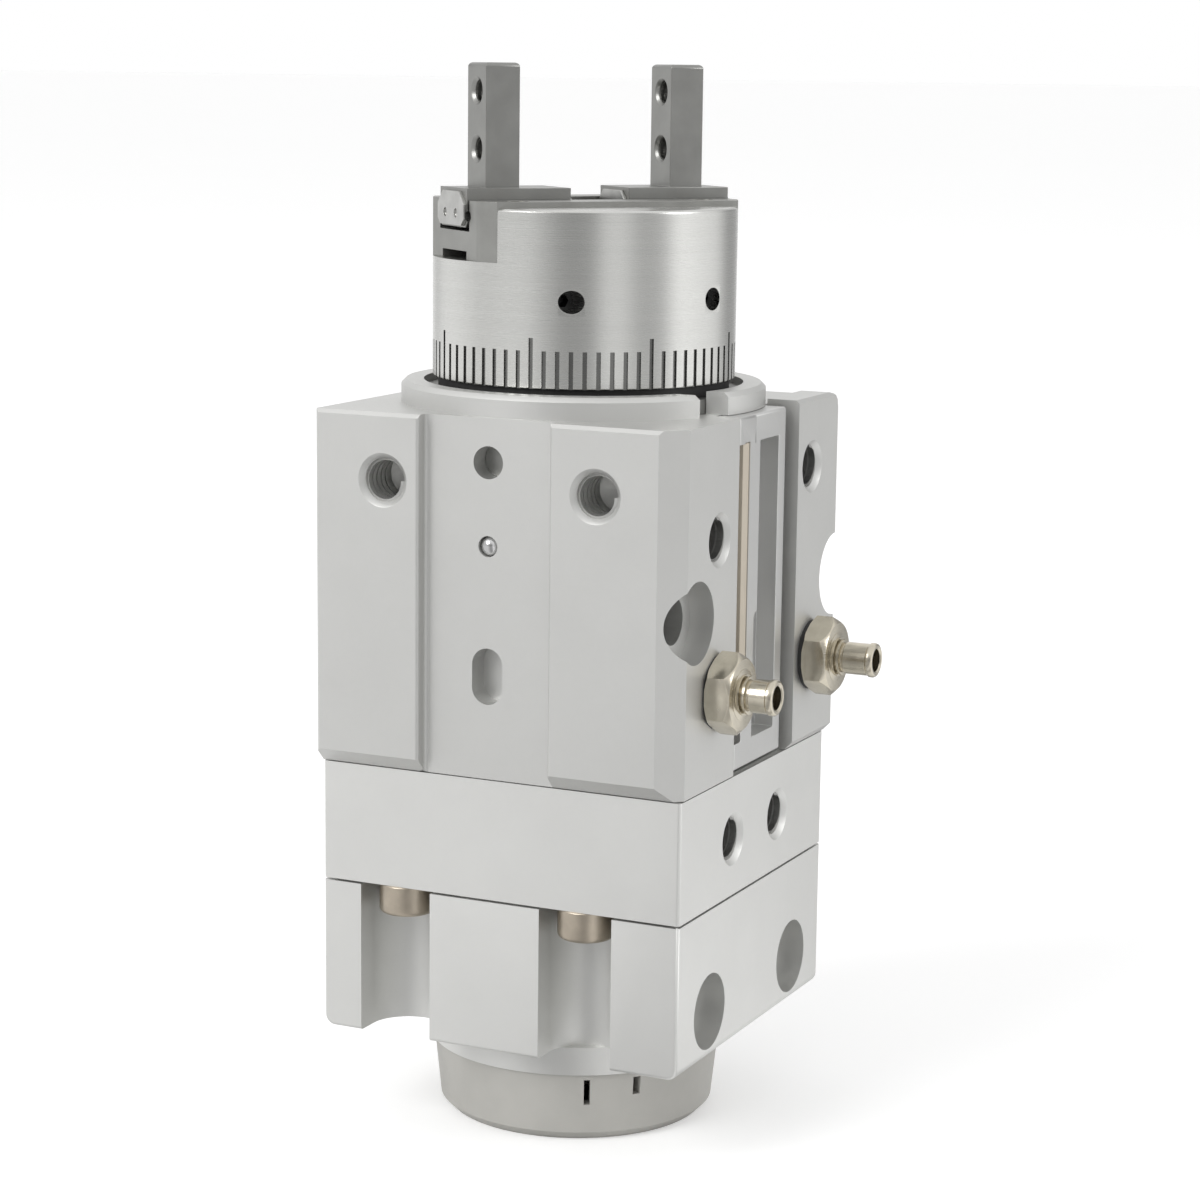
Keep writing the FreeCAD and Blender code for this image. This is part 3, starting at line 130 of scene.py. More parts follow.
def turned_form(name, stations, at=(0, 0, 0), axis="z", steps=64):
    """Solid turned on a lathe: (radius, height) stations along the axis, each drawn on from the last."""
    bpy.ops.object.select_all(action="DESELECT")
    radius, height = stations[0]
    bpy.ops.mesh.primitive_circle_add(vertices=steps, radius=radius * MM, fill_type="NGON",
                                      location=(0, 0, height * MM))
    piece = bpy.context.object
    piece.name = name
    settle(piece)
    bpy.ops.object.mode_set(mode="EDIT")
    bpy.ops.mesh.select_all(action="SELECT")
    bpy.ops.mesh.duplicate()
    for new_radius, new_height in stations[1:]:
        bpy.ops.mesh.extrude_region_move(TRANSFORM_OT_translate={"value": (0, 0, (new_height - height) * MM)})
        share = new_radius / radius
        bpy.ops.transform.resize(value=(share, share, 1), center_override=(0, 0, new_height * MM))
        radius, height = new_radius, new_height
    bpy.ops.mesh.select_all(action="SELECT")
    bpy.ops.mesh.remove_doubles(threshold=0.0005 * MM)
    bpy.ops.mesh.normals_make_consistent(inside=False)
    bpy.ops.object.mode_set(mode="OBJECT")
    piece.rotation_euler = TURNS[axis]
    piece.location = [c * MM for c in at]
    settle(piece)
    return piece


def bar(at, axis, radius, length, steps=48):
    """Plain round bar, used as a drill."""
    return turned_form("drill", [(radius, 0), (radius, length)], at, axis, steps)


def thread_ridge(name, at, axis, radius, pitch, turns, rise):
    """Raised helix on the wall of a tapped hole, starting at the mouth."""
    bpy.ops.object.select_all(action="DESELECT")
    bpy.ops.mesh.primitive_circle_add(vertices=3, radius=rise * MM, fill_type="NOTHING",
                                      location=((radius - 0.2 * rise) * MM, 0, 0),
                                      rotation=(math.pi / 2, math.pi / 2, 0))
    piece = bpy.context.object
    piece.name = name
    settle(piece)
    apply_modifier(piece, "SCREW", axis="Z", screw_offset=pitch * MM, iterations=turns,
                   steps=36, render_steps=36)
    bpy.ops.object.mode_set(mode="EDIT")
    bpy.ops.mesh.select_all(action="SELECT")
    bpy.ops.mesh.remove_doubles(threshold=0.0005 * MM)
    bpy.ops.mesh.select_all(action="DESELECT")
    bpy.ops.mesh.select_mode(type="VERT")
    bpy.ops.mesh.select_non_manifold()
    bpy.ops.mesh.fill_holes(sides=3)
    bpy.ops.mesh.select_all(action="SELECT")
    bpy.ops.mesh.normals_make_consistent(inside=False)
    bpy.ops.object.mode_set(mode="OBJECT")
    piece.rotation_euler = TURNS[axis]
    piece.location = [c * MM for c in at]
    settle(piece)
    smooth(piece, 50)
    return piece


def settle(piece):
    """Puts the piece's place into its mesh, so that its object sits at the origin."""
    alone(piece)
    bpy.ops.object.transform_apply(location=True, rotation=True, scale=True)


def cut(piece, tools):
    """Takes the tools out of the piece, and the tools out of the scene."""
    for tool in tools:
        apply_modifier(piece, "BOOLEAN", operation="DIFFERENCE", object=tool, solver="EXACT")
        bpy.data.objects.remove(tool)


def merge(piece, distance=0.002 * MM):
    alone(piece)
    bpy.ops.object.mode_set(mode="EDIT")
    bpy.ops.mesh.select_all(action="SELECT")
    bpy.ops.mesh.remove_doubles(threshold=distance)
    bpy.ops.mesh.dissolve_limited(angle_limit=math.radians(0.6))
    bpy.ops.object.mode_set(mode="OBJECT")


def copy_of(node, name):
    """A merged copy of a CAD node, to be dressed."""
    piece = frame["nodes"][node].copy()
    piece.data = frame["nodes"][node].data.copy()
    piece.name = name
    for key in list(piece.keys()):
        del piece[key]
    bpy.context.scene.collection.objects.link(piece)
    piece.parent = None
    piece.data.materials.clear()
    merge(piece)
    return piece


def give(piece, material, body, nodes=()):
    """Material, carrier and, where it stands for them, the CAD nodes of a finished piece."""
    piece.data.materials.clear()
    piece.data.materials.append(material)
    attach(piece, body)
    if nodes:
        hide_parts(*nodes)
    return piece


def body_of(node):
    for body, members in frame["record"]["behaviour"]["bodies"].items():
        if node in members:
            return body
    raise KeyError(node)


def slot_of(node):
    for part in frame["record"]["subparts"]:
        if part["node"] == node:
            return part["material_slot"]
    raise KeyError(node)


class Finish:
    """A material built from nodes, with short calls for the ones used here."""

    def __init__(self, name, colour, metal, rough):
        self.material = bpy.data.materials.new(name)
        self.material.use_nodes = True
        self.tree = self.material.node_tree
        self.shader = self.tree.nodes["Principled BSDF"]
        self.shader.inputs["Base Color"].default_value = (*colour, 1)
        self.shader.inputs["Metallic"].default_value = metal
        self.shader.inputs["Roughness"].default_value = rough
        self.colour = colour
        self.place = self.node("ShaderNodeTexCoord").outputs["Object"]

    def node(self, kind, **settings):
        made = self.tree.nodes.new(kind)
        for name, value in settings.items():
            setattr(made, name, value)
        return made

    def link(self, start, end):
        self.tree.links.new(start, end)

    def noise(self, size, detail=3, stretch=(1, 1, 1), rough=0.5):
        """Noise whose grains measure about size metres, drawn out by the stretch."""
        mapping = self.node("ShaderNodeMapping")
        self.link(self.place, mapping.inputs["Vector"])
        mapping.inputs["Scale"].default_value = [1 / s for s in stretch]
        noise = self.node("ShaderNodeTexNoise")
        self.link(mapping.outputs["Vector"], noise.inputs["Vector"])
        noise.inputs["Scale"].default_value = 1 / size
        noise.inputs["Detail"].default_value = detail
        noise.inputs["Roughness"].default_value = rough
        return noise.outputs["Fac"]

    def span(self, value, low, high):
        """Maps 0 to 1 on to low to high."""
        node = self.node("ShaderNodeMapRange")
        self.link(value, node.inputs["Value"])
        node.inputs["To Min"].default_value = low
        node.inputs["To Max"].default_value = high
        return node.outputs["Result"]

    def tint(self, value, dark, light, start=0.3, end=0.7):
        """Colour that runs from dark to light over the value."""
        ramp = self.node("ShaderNodeValToRGB")
        self.link(value, ramp.inputs["Fac"])
        ramp.color_ramp.elements[0].position = start
        ramp.color_ramp.elements[1].position = end
        for element, share in zip(ramp.color_ramp.elements, (dark, light)):
            element.color = (*[c * share for c in self.colour], 1)
        self.link(ramp.outputs["Color"], self.shader.inputs["Base Color"])

    def uneven_gloss(self, value, rough, less, more):
        """Roughness that runs over the value, a little under and over the written one."""
        self.link(self.span(value, rough - less, rough + more), self.shader.inputs["Roughness"])

    def times(self, first, second):
        node = self.node("ShaderNodeMath", operation="MULTIPLY")
        self.link(first, node.inputs[0])
        self.link(second, node.inputs[1])
        return node.outputs[0]

    def below(self, value, limit):
        """1 where the value is under the limit, 0 elsewhere."""
        node = self.node("ShaderNodeMath", operation="LESS_THAN")
        self.link(value, node.inputs[0])
        node.inputs[1].default_value = limit
        return node.outputs[0]

    def shade(self, share):
        """The colour times the share."""
        node = self.node("ShaderNodeVectorMath", operation="SCALE")
        node.inputs[0].default_value = self.colour
        self.link(share, node.inputs["Scale"])
        self.link(node.outputs["Vector"], self.shader.inputs["Base Color"])

    def bump(self, value, height, strength=1.0):
        node = self.node("ShaderNodeBump")
        self.link(value, node.inputs["Height"])
        node.inputs["Distance"].default_value = height
        node.inputs["Strength"].default_value = strength
        self.link(node.outputs["Normal"], self.shader.inputs["Normal"])


def blasted_aluminium(name, colour=(0.62, 0.62, 0.605), rough=0.46):
    """Bead-blasted and anodised: a fine even grain with faint clouding, lighter on the two lower blocks."""
    finish = Finish(name, colour, 0.85, rough)
    clouds = finish.span(finish.noise(7 * MM, 4), 0.955, 1.035)
    height = finish.node("ShaderNodeSeparateXYZ")
    finish.link(finish.place, height.inputs[0])
    lower = finish.below(height.outputs["Z"], MAIN_FOOT * MM)
    finish.shade(finish.times(clouds, finish.span(lower, 1.0, LOWER_BLOCKS_LIGHTER)))
    finish.uneven_gloss(finish.noise(0.5 * MM, 4), rough, 0.05, 0.06)
    finish.bump(finish.noise(0.12 * MM, 4, rough=0.7), 0.012 * MM, 0.7)
    return finish.material


def turned_aluminium(name, colour=(0.63, 0.63, 0.61), rough=0.27):
    """Turned on a lathe: rings of fine tool marks round the axis, and the sunk graduation darkened with painted
    shade.
    """
    finish = Finish(name, colour, 1.0, rough)
    rings = finish.noise(0.12 * MM, 3, stretch=(400, 400, 1))
    bands = finish.span(finish.noise(0.6 * MM, 3, stretch=(60, 60, 1)), 0.955, 1.035)
    flat = finish.node("ShaderNodeVectorMath", operation="MULTIPLY")
    finish.link(finish.place, flat.inputs[0])
    flat.inputs[1].default_value = (1, 1, 0)
    radius = finish.node("ShaderNodeVectorMath", operation="LENGTH")
    finish.link(flat.outputs["Vector"], radius.inputs[0])
    height = finish.node("ShaderNodeSeparateXYZ")
    finish.link(finish.place, height.inputs[0])
    # painted shade: faces sunk inside the head's radius and below the long marks' tops are darkened, standing
    # in for the shade in the graduation grooves
    sunk = finish.below(radius.outputs["Value"], (HEAD_RADIUS - 0.05) * MM)
    low = finish.below(height.outputs["Z"], (HEAD_FOOT + LONG_MARK_RISE + 0.1) * MM)
    mark = finish.span(finish.times(sunk, low), 1.0, MARK_PAINTED_SHADE)
    finish.shade(finish.times(bands, mark))
    finish.bump(rings, 0.003 * MM, 0.5)
    finish.uneven_gloss(rings, rough, 0.02, 0.03)
    return finish.material


def ground_steel(name, colour=(0.30, 0.30, 0.288), rough=0.36):
    """Hardened steel, ground along its faces."""
    finish = Finish(name, colour, 1.0, rough)
    grain = finish.noise(0.08 * MM, 3, stretch=(1, 1, 25))
    finish.tint(finish.noise(3 * MM, 3), 0.92, 1.06)
    finish.bump(grain, 0.004 * MM, 0.5)
    finish.uneven_gloss(grain, rough, 0.05, 0.07)
    return finish.material


def plated(name, colour, rough=0.25):
    """Plated small parts, with a light unevenness."""
    finish = Finish(name, colour, 1.0, rough)
    finish.tint(finish.noise(1.5 * MM, 3), 0.9, 1.08)
    finish.uneven_gloss(finish.noise(0.4 * MM, 3), rough, 0.06, 0.1)
    finish.bump(finish.noise(0.2 * MM, 3), 0.004 * MM, 0.4)
    return finish.material


def moulded_plastic(name, colour=(0.44, 0.432, 0.405), rough=0.5):
    """Moulded cover with an eroded mould grain."""
    finish = Finish(name, colour, 0.0, rough)
    finish.tint(finish.noise(4 * MM, 3), 0.96, 1.03)
    finish.bump(finish.noise(0.25 * MM, 4), 0.02 * MM, 0.6)
    finish.uneven_gloss(finish.noise(0.6 * MM, 3), rough, 0.05, 0.08)
    return finish.material


def black_rubber(name):
    finish = Finish(name, (0.018, 0.018, 0.018), 0.0, 0.62)
    finish.tint(finish.noise(2 * MM, 3), 0.8, 1.3)
    finish.bump(finish.noise(0.3 * MM, 3), 0.01 * MM, 0.5)
    return finish.material


def make_materials():
    return {
        "body_aluminium": blasted_aluminium("blasted aluminium"),
        "head_aluminium": turned_aluminium("turned aluminium"),
        "rail_aluminium": blasted_aluminium("rail aluminium", (0.6, 0.6, 0.59), 0.4),
        "finger_steel": ground_steel("finger steel"),
        "guide_steel": ground_steel("guide steel", (0.34, 0.34, 0.325), 0.4),
        "bolt_steel": plated("zinc plated steel", (0.5, 0.44, 0.36), 0.34),
        "bearing_steel": plated("bearing steel", (0.62, 0.62, 0.62), 0.16),
        "fitting_brass": plated("nickel plated brass", (0.6, 0.555, 0.46), 0.22),
        "cap_plastic": moulded_plastic("moulded cap plastic"),
        "seal_rubber": black_rubber("black rubber"),
        "bush_bronze": plated("sintered bronze", (0.5, 0.33, 0.17), 0.4),
        "magnet_alloy": plated("dark magnet alloy", (0.12, 0.12, 0.13), 0.45),
        # painted shade: a darker grey for the thread ridges of the side holes, standing in for the shade inside
        # them
        "thread": plated("tapped thread in painted shade", (0.42, 0.42, 0.41), 0.4),
        "strip": moulded_plastic("beige strip", (0.55, 0.49, 0.4), 0.5),
        # painted shade: the pin plugs are near black so that the pin holes look dark, standing in for the shade
        # deep inside them
        "plug": plated("plug steel in painted shade", (0.05, 0.05, 0.05), 0.45),
        "cover": plated("phosphated steel", (0.28, 0.28, 0.27), 0.45),
        "end_plate": plated("plain steel plate", (0.5, 0.5, 0.485), 0.3),
    }


# the turning head, in its own directions: the guide runs along X, and all is turned by HEAD_TURN at the end
HEAD_TURN = math.radians(231)
GUIDE_FOOT, GUIDE_HALF = 85.1, 7.6
PIN_OFFSET, PIN_HEIGHT, PIN_FACE = 7.37, 81.7, 12.777
PIN_BORE, PLUG_MOUTH = 1.02, 1.08
MARK_STEP, MARK_WIDTH, MARK_DEPTH = 5, 0.42, 0.18


def turn_with_head(piece):
    piece.rotation_euler = (0, 0, HEAD_TURN)
    settle(piece)
    return piece


def make_marks():
    """The cutters of the 72 graduation marks as one piece, every ninth mark longer."""
    marks = []
    for number in range(360 // MARK_STEP):
        rise = LONG_MARK_RISE if number % 9 == 0 else MARK_RISE
        half = MARK_WIDTH / 2
        mark = box("mark", (HEAD_RADIUS - MARK_DEPTH, -half, HEAD_FOOT - 1),
                   (HEAD_RADIUS + 1, half, HEAD_FOOT + rise))
        mark.rotation_euler = (0, 0, math.radians(number * MARK_STEP))
        settle(mark)
        marks.append(mark)
    bpy.ops.object.select_all(action="DESELECT")
    for mark in marks:
        mark.select_set(True)
    bpy.context.view_layer.objects.active = marks[0]
    bpy.ops.object.join()
    return marks[0]


def make_head(material):
    """Turned head with its graduation, the guide's slot, the levers' room and the plugged pin holes."""
    r = HEAD_RADIUS
    rim = [(r - 0.36, HEAD_TOP), (r - 0.2, HEAD_TOP - 0.05), (r - 0.05, HEAD_TOP - 0.2), (r, HEAD_TOP - 0.42)]
    # level lines between the marks, the pin holes and the slot keep the long faces evenly shaded
    levels = [(r, z) for z in (HEAD_FOOT + MARK_RISE + 0.15, HEAD_FOOT + LONG_MARK_RISE + 0.15,
                               PIN_HEIGHT - 1.4, PIN_HEIGHT + 1.4, GUIDE_FOOT - 0.2)]
    lip = HEAD_FOOT - LIP_DROP
    stations = [(r - 0.45, HEAD_FOOT), (r - 0.43, lip), (r - 0.16, lip), (r - 0.04, lip + 0.05),
                (r, lip + 0.18)] + levels + rim[::-1]
    head = turned_form("head_finished", stations, steps=504)
    drills = [make_marks(),
              box("slot", (-16, -GUIDE_HALF, GUIDE_FOOT), (16, GUIDE_HALF, HEAD_TOP + 1)),
              box("lever_room", (-10.6, -1.8, HEAD_FOOT - 1), (10.6, 1.8, GUIDE_FOOT + 1)),
              bar((0, 0, HEAD_FOOT - 1), "z", 9.92, 3.7, 96),
              bar((0, 0, HEAD_FOOT - 1), "z", 4.6, 20)]
    for sign in (-1, 1):
        drills.append(bar((sign * PIN_OFFSET, -16, PIN_HEIGHT), "y", PIN_BORE, 32, 32))
        for side, axis in ((-1, "y"), (1, "-y")):
            drills.append(bar((sign * PIN_OFFSET, side * 16, PIN_HEIGHT), axis, PLUG_MOUTH,
                              16 - PIN_FACE + 4.2, 48))
    cut(head, drills)

    def at_mouth(point):
        off = math.hypot(abs(point.x) - PIN_OFFSET, point.z - PIN_HEIGHT)
        return abs(off - PLUG_MOUTH) < 0.02 and abs(math.hypot(point.x, point.y) - r) < 0.02

    round_edges(head, 0.1, lambda a, b: at_mouth(a) and at_mouth(b), 2)
    even_out(head, 30)
    turn_with_head(head)
    return give(head, material, "head", ["rotary_head"])


# barb fittings: stations run along the axis from the gasket's face
HEX_ACROSS, HEX_LENGTH = 6.9, 2.5


def make_fitting(side, at, length, material):
    """Hexagon with turned corners, a grooved neck and a hose nipple with a rounded rim."""
    corner = HEX_ACROSS / math.sqrt(3)
    flat = HEX_ACROSS / 2
    bpy.ops.object.select_all(action="DESELECT")
    bpy.ops.mesh.primitive_cylinder_add(vertices=6, radius=corner * MM, depth=HEX_LENGTH * MM,
                                        location=(0, 0, HEX_LENGTH / 2 * MM), rotation=(0, 0, math.pi / 6))
    piece = bpy.context.object
    piece.name = f"barb_fitting_{side}_finished"
    settle(piece)
    corners = [(flat + 0.05, -0.01), (corner + 0.02, 0.3), (corner + 0.02, HEX_LENGTH - 0.62),
               (flat - 0.1, HEX_LENGTH + 0.01)]
    form = turned_form("corner_turning", corners)
    apply_modifier(piece, "BOOLEAN", operation="INTERSECT", object=form, solver="EXACT")
    bpy.data.objects.remove(form)
    bevel(piece, 0.09 * MM, 2, 25)
    h = HEX_LENGTH
    neck = [(2.45, h - 0.6), (2.45, h + 0.02), (1.95, h + 0.12), (1.95, h + 0.3), (1.5, h + 0.34),
            (1.5, h + 0.52), (1.82, h + 0.56), (1.82, h + 0.78), (1.45, h + 0.84), (1.45, h + 1.0),
            (1.6, h + 1.12),
            (1.6, length - 0.75), (1.72, length - 0.6), (1.72, length - 0.25),
            (1.62, length - 0.08), (1.45, length), (1.24, length - 0.03),
            (1.13, length - 0.14), (1.13, h + 0.4)]
    nipple = turned_form("nipple", neck)
    shank = turned_form("shank", [(2.4, -4.9), (2.45, -4.8), (2.45, -0.42), (1.85, -0.4), (1.85, 0.4)])
    bpy.ops.object.select_all(action="DESELECT")
    for part in (piece, nipple, shank):
        part.select_set(True)
    bpy.context.view_layer.objects.active = piece
    bpy.ops.object.join()
    piece.rotation_euler = TURNS["x"]
    piece.location = [c * MM for c in at]
    settle(piece)
    smooth(piece, 32)
    return give(piece, material, "body", [f"barb_fitting_{side}"])


# tapped holes of the blocks: place of the mouth's inner end, axis into the hole, turns of thread
TAPPED_HOLES = {
    "face_left": ((-11.65, -18.7, 64.6), "y", 5),
    "face_right": ((10.55, -18.7, 64.6), "y", 5),
    "side_far": ((19.2, 11.1, 64.6), "-x", 5),
    "side_near": ((18.4, -9.9, 60.0), "-x", 5),
    "vane_port_near": ((18.4, -5.3, 30.35), "-x", 4),
    "vane_port_far": ((18.4, 5.9, 30.35), "-x", 4),
    "stop_port_near": ((15.7, -10.3, 14.55), "-x", 4),
    "stop_port_far": ((15.7, 10.3, 14.55), "-x", 4),
}
THREAD_WALL, THREAD_PITCH, THREAD_RISE = 2.1, 0.8, 0.36

# tapped holes of the fingers, before the head is turned: their starts along X and their heights
FINGER_STARTS = {"left": 8.35, "right": -11.15}
FINGER_HOLES = (95.4, 100.85)
FINGER_WALL, FINGER_PITCH, FINGER_RISE, FINGER_THREAD_TURNS = 1.03, 0.45, 0.13, 6


def make_threads(materials):
    """Thread ridges: those of the front holes as light as the block, those of the side holes darker, as painted
    shade inside the holes.
    """
    for name, (at, axis, turns) in TAPPED_HOLES.items():
        ridge = thread_ridge(f"thread_{name}", at, axis, THREAD_WALL, THREAD_PITCH, turns, THREAD_RISE)
        material = materials["body_aluminium" if name.startswith("face") else "thread"]
        give(ridge, material, "body")
    for side, start in FINGER_STARTS.items():
        for number, height in enumerate(FINGER_HOLES):
            ridge = thread_ridge(f"thread_finger_{side}_{number}", (start, 0, height), "x", FINGER_WALL,
                                 FINGER_PITCH, FINGER_THREAD_TURNS, FINGER_RISE)
            turn_with_head(ridge)
            give(ridge, materials["finger_steel"], f"finger_{side}")


# front pads: their edges along X, and the faces of the pads and of the window along Y
LEFT_PAD_EDGE, RIGHT_PAD_EDGE = -7.8, 5.85
PAD_FACE, WINDOW_FACE = -19.3, -17.9


def shape_main_body(piece):
    """Wide soft corners of the front pads beside the sunk window, and a soft inner corner at the left one."""
    def upright_at(x, y):
        def test(a, b):
            return all(abs(p.x - x) < 0.05 and abs(p.y - y) < 0.05 for p in (a, b)) and abs(a.z - b.z) > 1
        return test

    round_edges(piece, 0.85, upright_at(LEFT_PAD_EDGE, PAD_FACE))
    round_edges(piece, 0.4, upright_at(RIGHT_PAD_EDGE, PAD_FACE))
    round_edges(piece, 0.45, upright_at(LEFT_PAD_EDGE, WINDOW_FACE))


def shape_end_plates(piece):
    """Two countersunk screws in each outer plate."""
    drills = []
    for sign in (-1, 1):
        for across in (-1.25, 1.25):
            drill = bar((sign * 14.35, across, 89.45), "-x" if sign > 0 else "x", 0.42, 0.33, 24)
            drills.append(turn_with_head(drill))
    cut(piece, drills)


def shape_rail(piece):
    """Land along the wide slot's far side."""
    land = box("land", (16.9, 4.2, 39.5), (19.0, 5.3, 68.7))
    apply_modifier(piece, "BOOLEAN", operation="UNION", object=land, solver="EXACT")
    bpy.data.objects.remove(land)


def cut_joint(piece, level, height, depth):
    """Thin dark joint cut all round into the top of a block, just below the level."""
    low, high = ([pick(v.co[i] for v in piece.data.vertices) / MM for i in range(3)] for pick in (min, max))
    x0, y0, x1, y1 = low[0] - 1, low[1] - 1, high[0] + 1, high[1] + 1
    inner = (low[0] + depth, low[1] + depth, high[0] - depth, high[1] - depth)
    z0, z1 = level - height, level + 0.5
    cut(piece, [box("joint", (x0, y0, z0), (x1, inner[1], z1)),
                box("joint", (x0, inner[3], z0), (x1, y1, z1)),
                box("joint", (x0, y0, z0), (inner[0], y1, z1)),
                box("joint", (inner[2], y0, z0), (x1, y1, z1))])


def cut_rail(piece):
    """Fine seam across the upper bridge, the strip's seat, and the wide slot's lower part a little wider."""
    cut(piece, [box("seam", (18.85, -1.74, 68.2), (19.5, -1.6, 71.2)),
                box("strip_seat", (17.0, -4.2, 43.0), (19.5, -3.0, 68.5)),
                box("widening", (17.0, -1.35, 39.6), (19.5, -0.3, 51.0)),
                bar((16.99, -0.45, 51.0), "x", 0.9, 2.6, 32)])


SHAPES = {"main_body": shape_main_body, "switch_rail": shape_rail,
          "end_plates_left": shape_end_plates, "end_plates_right": shape_end_plates}
# the joints between the blocks: level, height and depth
JOINTS = {"middle_block": (MAIN_FOOT, 0.1, 0.5), "lower_block": (LOWER_TOP, 0.22, 0.9)}


def dress_nodes(materials):
    """Visible pieces as copies with eased edges; inner ones keep their CAD form."""
    eased = {
        "main_body": 0.13, "middle_block": 0.13, "lower_block": 0.13, "bottom_cap": 0.15, "switch_rail": 0.08,
        "clamp_bolts": 0.22, "finger_guide": 0.07, "finger_left": 0.12, "finger_right": 0.12,
        "end_plates_left": 0.05, "end_plates_right": 0.05,
    }
    own_finish = {"end_plates_left": "end_plate", "end_plates_right": "end_plate", "bearing_cover": "cover",
                  "pin_plugs": "plug"}
    for node, thing in frame["nodes"].items():
        material = materials[own_finish.get(node, slot_of(node))]
        if node in eased:
            piece = copy_of(node, f"{node}_finished")
            if node in SHAPES:
                SHAPES[node](piece)
            bevel(piece, eased[node] * MM)
            if node in JOINTS:
                cut_joint(piece, *JOINTS[node])
            if node == "switch_rail":
                cut_rail(piece)
            even_out(piece)
            give(piece, material, body_of(node), [node])
        else:
            thing.data.materials.clear()
            thing.data.materials.append(material)


def make_strip(material):
    """Beige strip on its seat in the rail's narrow slot, short of the slot's lower end."""
    strip = box("narrow_slot_strip", (17.02, -4.5, 43.0), (18.92, -3.01, 68.4))
    bevel(strip, 0.08 * MM)
    even_out(strip)
    give(strip, material, "body")


def make_painted_shade_floor(material):
    """Flat machined floor of the locating pin hole, in dark steel as painted shade at the hole's bottom."""
    floor = turned_form("pin_hole_floor", [(1.48, 0), (1.48, 0.12)], (-1.15, -15.62, 66.8), "y", 48)
    even_out(floor)
    give(floor, material, "body")


def seen_or_mirrored(tree):
    """1 for rays from the camera and for mirrored or passed ones, 0 for the rest."""
    path = tree.nodes.new("ShaderNodeLightPath")
    result = path.outputs["Is Camera Ray"]
    for kind in ("Is Glossy Ray", "Is Transmission Ray"):
        either = tree.nodes.new("ShaderNodeMath")
        either.operation = "MAXIMUM"
        tree.links.new(result, either.inputs[0])
        tree.links.new(path.outputs[kind], either.inputs[1])
        result = either.outputs[0]
    return result


# how light the studio is round about, for mirrored rays: share of a full turn from -X and strength
STUDIO = ((0.0, 0.95), (0.04, 0.85), (0.09, 0.66), (0.13, 0.66), (0.20, 0.64), (0.245, 0.46), (0.275, 0.30),
          (0.335, 0.32), (0.365, 0.85), (0.395, 0.85), (0.44, 0.45), (0.485, 0.45), (0.525, 1.0), (0.56, 1.0),
          (0.635, 0.95), (0.70, 0.32), (0.75, 0.40), (0.79, 1.0), (0.87, 1.0), (0.905, 0.62), (0.96, 0.95))


def studio_round(tree, place):
    """The height of a place, and the studio's strength in its direction as seen from the axis."""
    split = tree.nodes.new("ShaderNodeSeparateXYZ")
    tree.links.new(place, split.inputs[0])
    turn = tree.nodes.new("ShaderNodeMath")
    turn.operation = "ARCTAN2"
    tree.links.new(split.outputs["Y"], turn.inputs[0])
    tree.links.new(split.outputs["X"], turn.inputs[1])
    share = tree.nodes.new("ShaderNodeMapRange")
    tree.links.new(turn.outputs[0], share.inputs["Value"])
    share.inputs["From Min"].default_value = -math.pi
    share.inputs["From Max"].default_value = math.pi
    ramp = tree.nodes.new("ShaderNodeValToRGB")
    ramp.color_ramp.interpolation = "EASE"
    tree.links.new(share.outputs["Result"], ramp.inputs["Fac"])
    while len(ramp.color_ramp.elements) < len(STUDIO):
        ramp.color_ramp.elements.new(0.5)
    for element, (position, strength) in zip(ramp.color_ramp.elements, STUDIO):
        element.position = position
        element.color = (strength, strength, strength, 1)
    return split.outputs["Z"], ramp.outputs["Color"]


def make_floor():
    """Pale floor that melts into the white of the backdrop and keeps the object's shadow."""
    bpy.ops.object.select_all(action="DESELECT")
    bpy.ops.mesh.primitive_plane_add(size=60, location=(0, 0, 0))
    floor = bpy.context.object
    floor.name = "floor"
    finish = Finish("pale floor", (0.85, 0.85, 0.85), 0.0, 0.7)
    around = studio_round(finish.tree, finish.place)[1]
    path = finish.node("ShaderNodeLightPath")
    toned = finish.node("ShaderNodeMix", data_type="RGBA")
    finish.link(path.outputs["Is Glossy Ray"], toned.inputs["Factor"])
    toned.inputs[6].default_value = (1, 1, 1, 1)
    finish.link(around, toned.inputs[7])
    paint = finish.node("ShaderNodeVectorMath", operation="SCALE")
    finish.link(toned.outputs[2], paint.inputs[0])
    finish.link(finish.span(finish.noise(0.4, 2), 0.84, 0.86), paint.inputs["Scale"])
    finish.link(paint.outputs["Vector"], finish.shader.inputs["Base Color"])
    finish.link(toned.outputs[2], finish.shader.inputs["Emission Color"])
    lift = finish.span(seen_or_mirrored(finish.tree), 0.0, FLOOR_LIFT)
    finish.link(lift, finish.shader.inputs["Emission Strength"])
    floor.data.materials.append(finish.material)


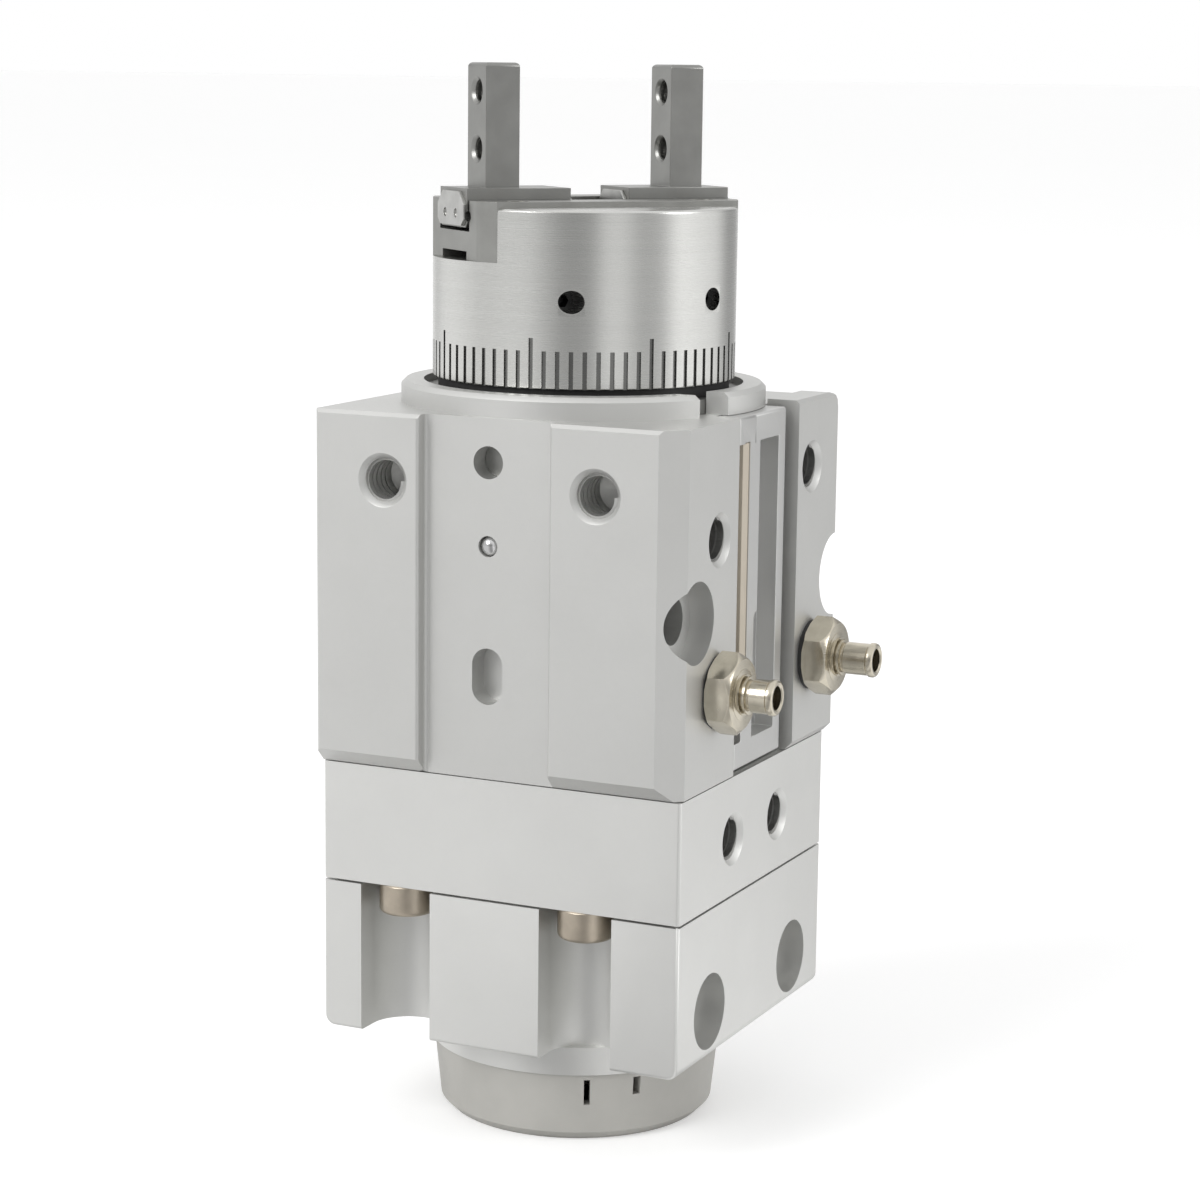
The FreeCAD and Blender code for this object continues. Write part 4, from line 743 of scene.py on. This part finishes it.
def make_world():
    """White to the camera, soft panels and gaps for the metal to mirror, and an even light on all sides."""
    world = bpy.data.worlds.new("studio")
    bpy.context.scene.world = world
    world.use_nodes = True
    tree = world.node_tree
    back = tree.nodes["Background"]

    def node(kind, **settings):
        made = tree.nodes.new(kind)
        for name, value in settings.items():
            setattr(made, name, value)
        return made

    place = node("ShaderNodeTexCoord")
    height, around = studio_round(tree, place.outputs["Generated"])
    upward = node("ShaderNodeMapRange", interpolation_type="SMOOTHSTEP")
    tree.links.new(height, upward.inputs["Value"])
    upward.inputs["From Min"].default_value = 0.2
    upward.inputs["From Max"].default_value = 0.75
    roof = node("ShaderNodeMix", data_type="RGBA")
    tree.links.new(upward.outputs["Result"], roof.inputs["Factor"])
    tree.links.new(around, roof.inputs[6])
    roof.inputs[7].default_value = (1, 1, 1, 1)
    path = node("ShaderNodeLightPath")
    even = node("ShaderNodeMix", data_type="RGBA")
    tree.links.new(path.outputs["Is Glossy Ray"], even.inputs["Factor"])
    even.inputs[6].default_value = (EVEN_LIGHT, EVEN_LIGHT, EVEN_LIGHT, 1)
    tree.links.new(roof.outputs[2], even.inputs[7])
    white = node("ShaderNodeMix", data_type="RGBA")
    tree.links.new(path.outputs["Is Camera Ray"], white.inputs["Factor"])
    tree.links.new(even.outputs[2], white.inputs[6])
    white.inputs[7].default_value = (1, 1, 1, 1)
    tree.links.new(white.outputs[2], back.inputs["Color"])
    back.inputs["Strength"].default_value = 1.0


def make_lamp(name, place, size, power, aim=(0, 0, 0.05)):
    data = bpy.data.lights.new(name, "AREA")
    data.shape = "DISK"
    data.size = size
    data.energy = power
    lamp = bpy.data.objects.new(name, data)
    bpy.context.scene.collection.objects.link(lamp)
    lamp.location = place
    lamp.rotation_mode = "QUATERNION"
    lamp.rotation_quaternion = (Vector(place) - Vector(aim)).to_track_quat("Z", "Y")


def make_camera():
    data = bpy.data.cameras.new("camera")
    data.sensor_width = 36
    data.lens = CAMERA_LENS
    data.clip_start = 0.01
    camera = bpy.data.objects.new("camera", data)
    bpy.context.scene.collection.objects.link(camera)
    back = Vector((math.sin(CAMERA_TURN) * math.cos(CAMERA_TIP),
                   -math.cos(CAMERA_TURN) * math.cos(CAMERA_TIP),
                   math.sin(CAMERA_TIP)))
    right = Vector((math.cos(CAMERA_TURN), math.sin(CAMERA_TURN), 0))
    up = back.cross(right)
    lean, rise = math.sin(CAMERA_LEAN), math.cos(CAMERA_LEAN)
    across, upward = rise * right + lean * up, rise * up - lean * right
    camera.matrix_world = Matrix((
        (across.x, upward.x, back.x, CAMERA_PLACE.x),
        (across.y, upward.y, back.y, CAMERA_PLACE.y),
        (across.z, upward.z, back.z, CAMERA_PLACE.z),
        (0, 0, 0, 1)))
    bpy.context.scene.camera = camera


bpy.context.scene.view_settings.view_transform = "Standard"
make_camera()
materials = make_materials()
dress_nodes(materials)
make_head(materials["head_aluminium"])
make_fitting("near", (19.15, -9.9, 45.6), 6.0, materials["fitting_brass"])
make_fitting("far", (20.2, 11.8, 45.6), 6.7, materials["fitting_brass"])
make_threads(materials)
make_strip(materials["strip"])
# painted shade: the dark steel floor stands in for the shade at the bottom of the pin hole
make_painted_shade_floor(materials["finger_steel"])
make_floor()
make_world()
make_lamp("key", (-0.5, -1.1, 0.9), 0.8, 9.5)
make_lamp("side", (1.25, 0.25, 0.5), 0.5, 2.6)
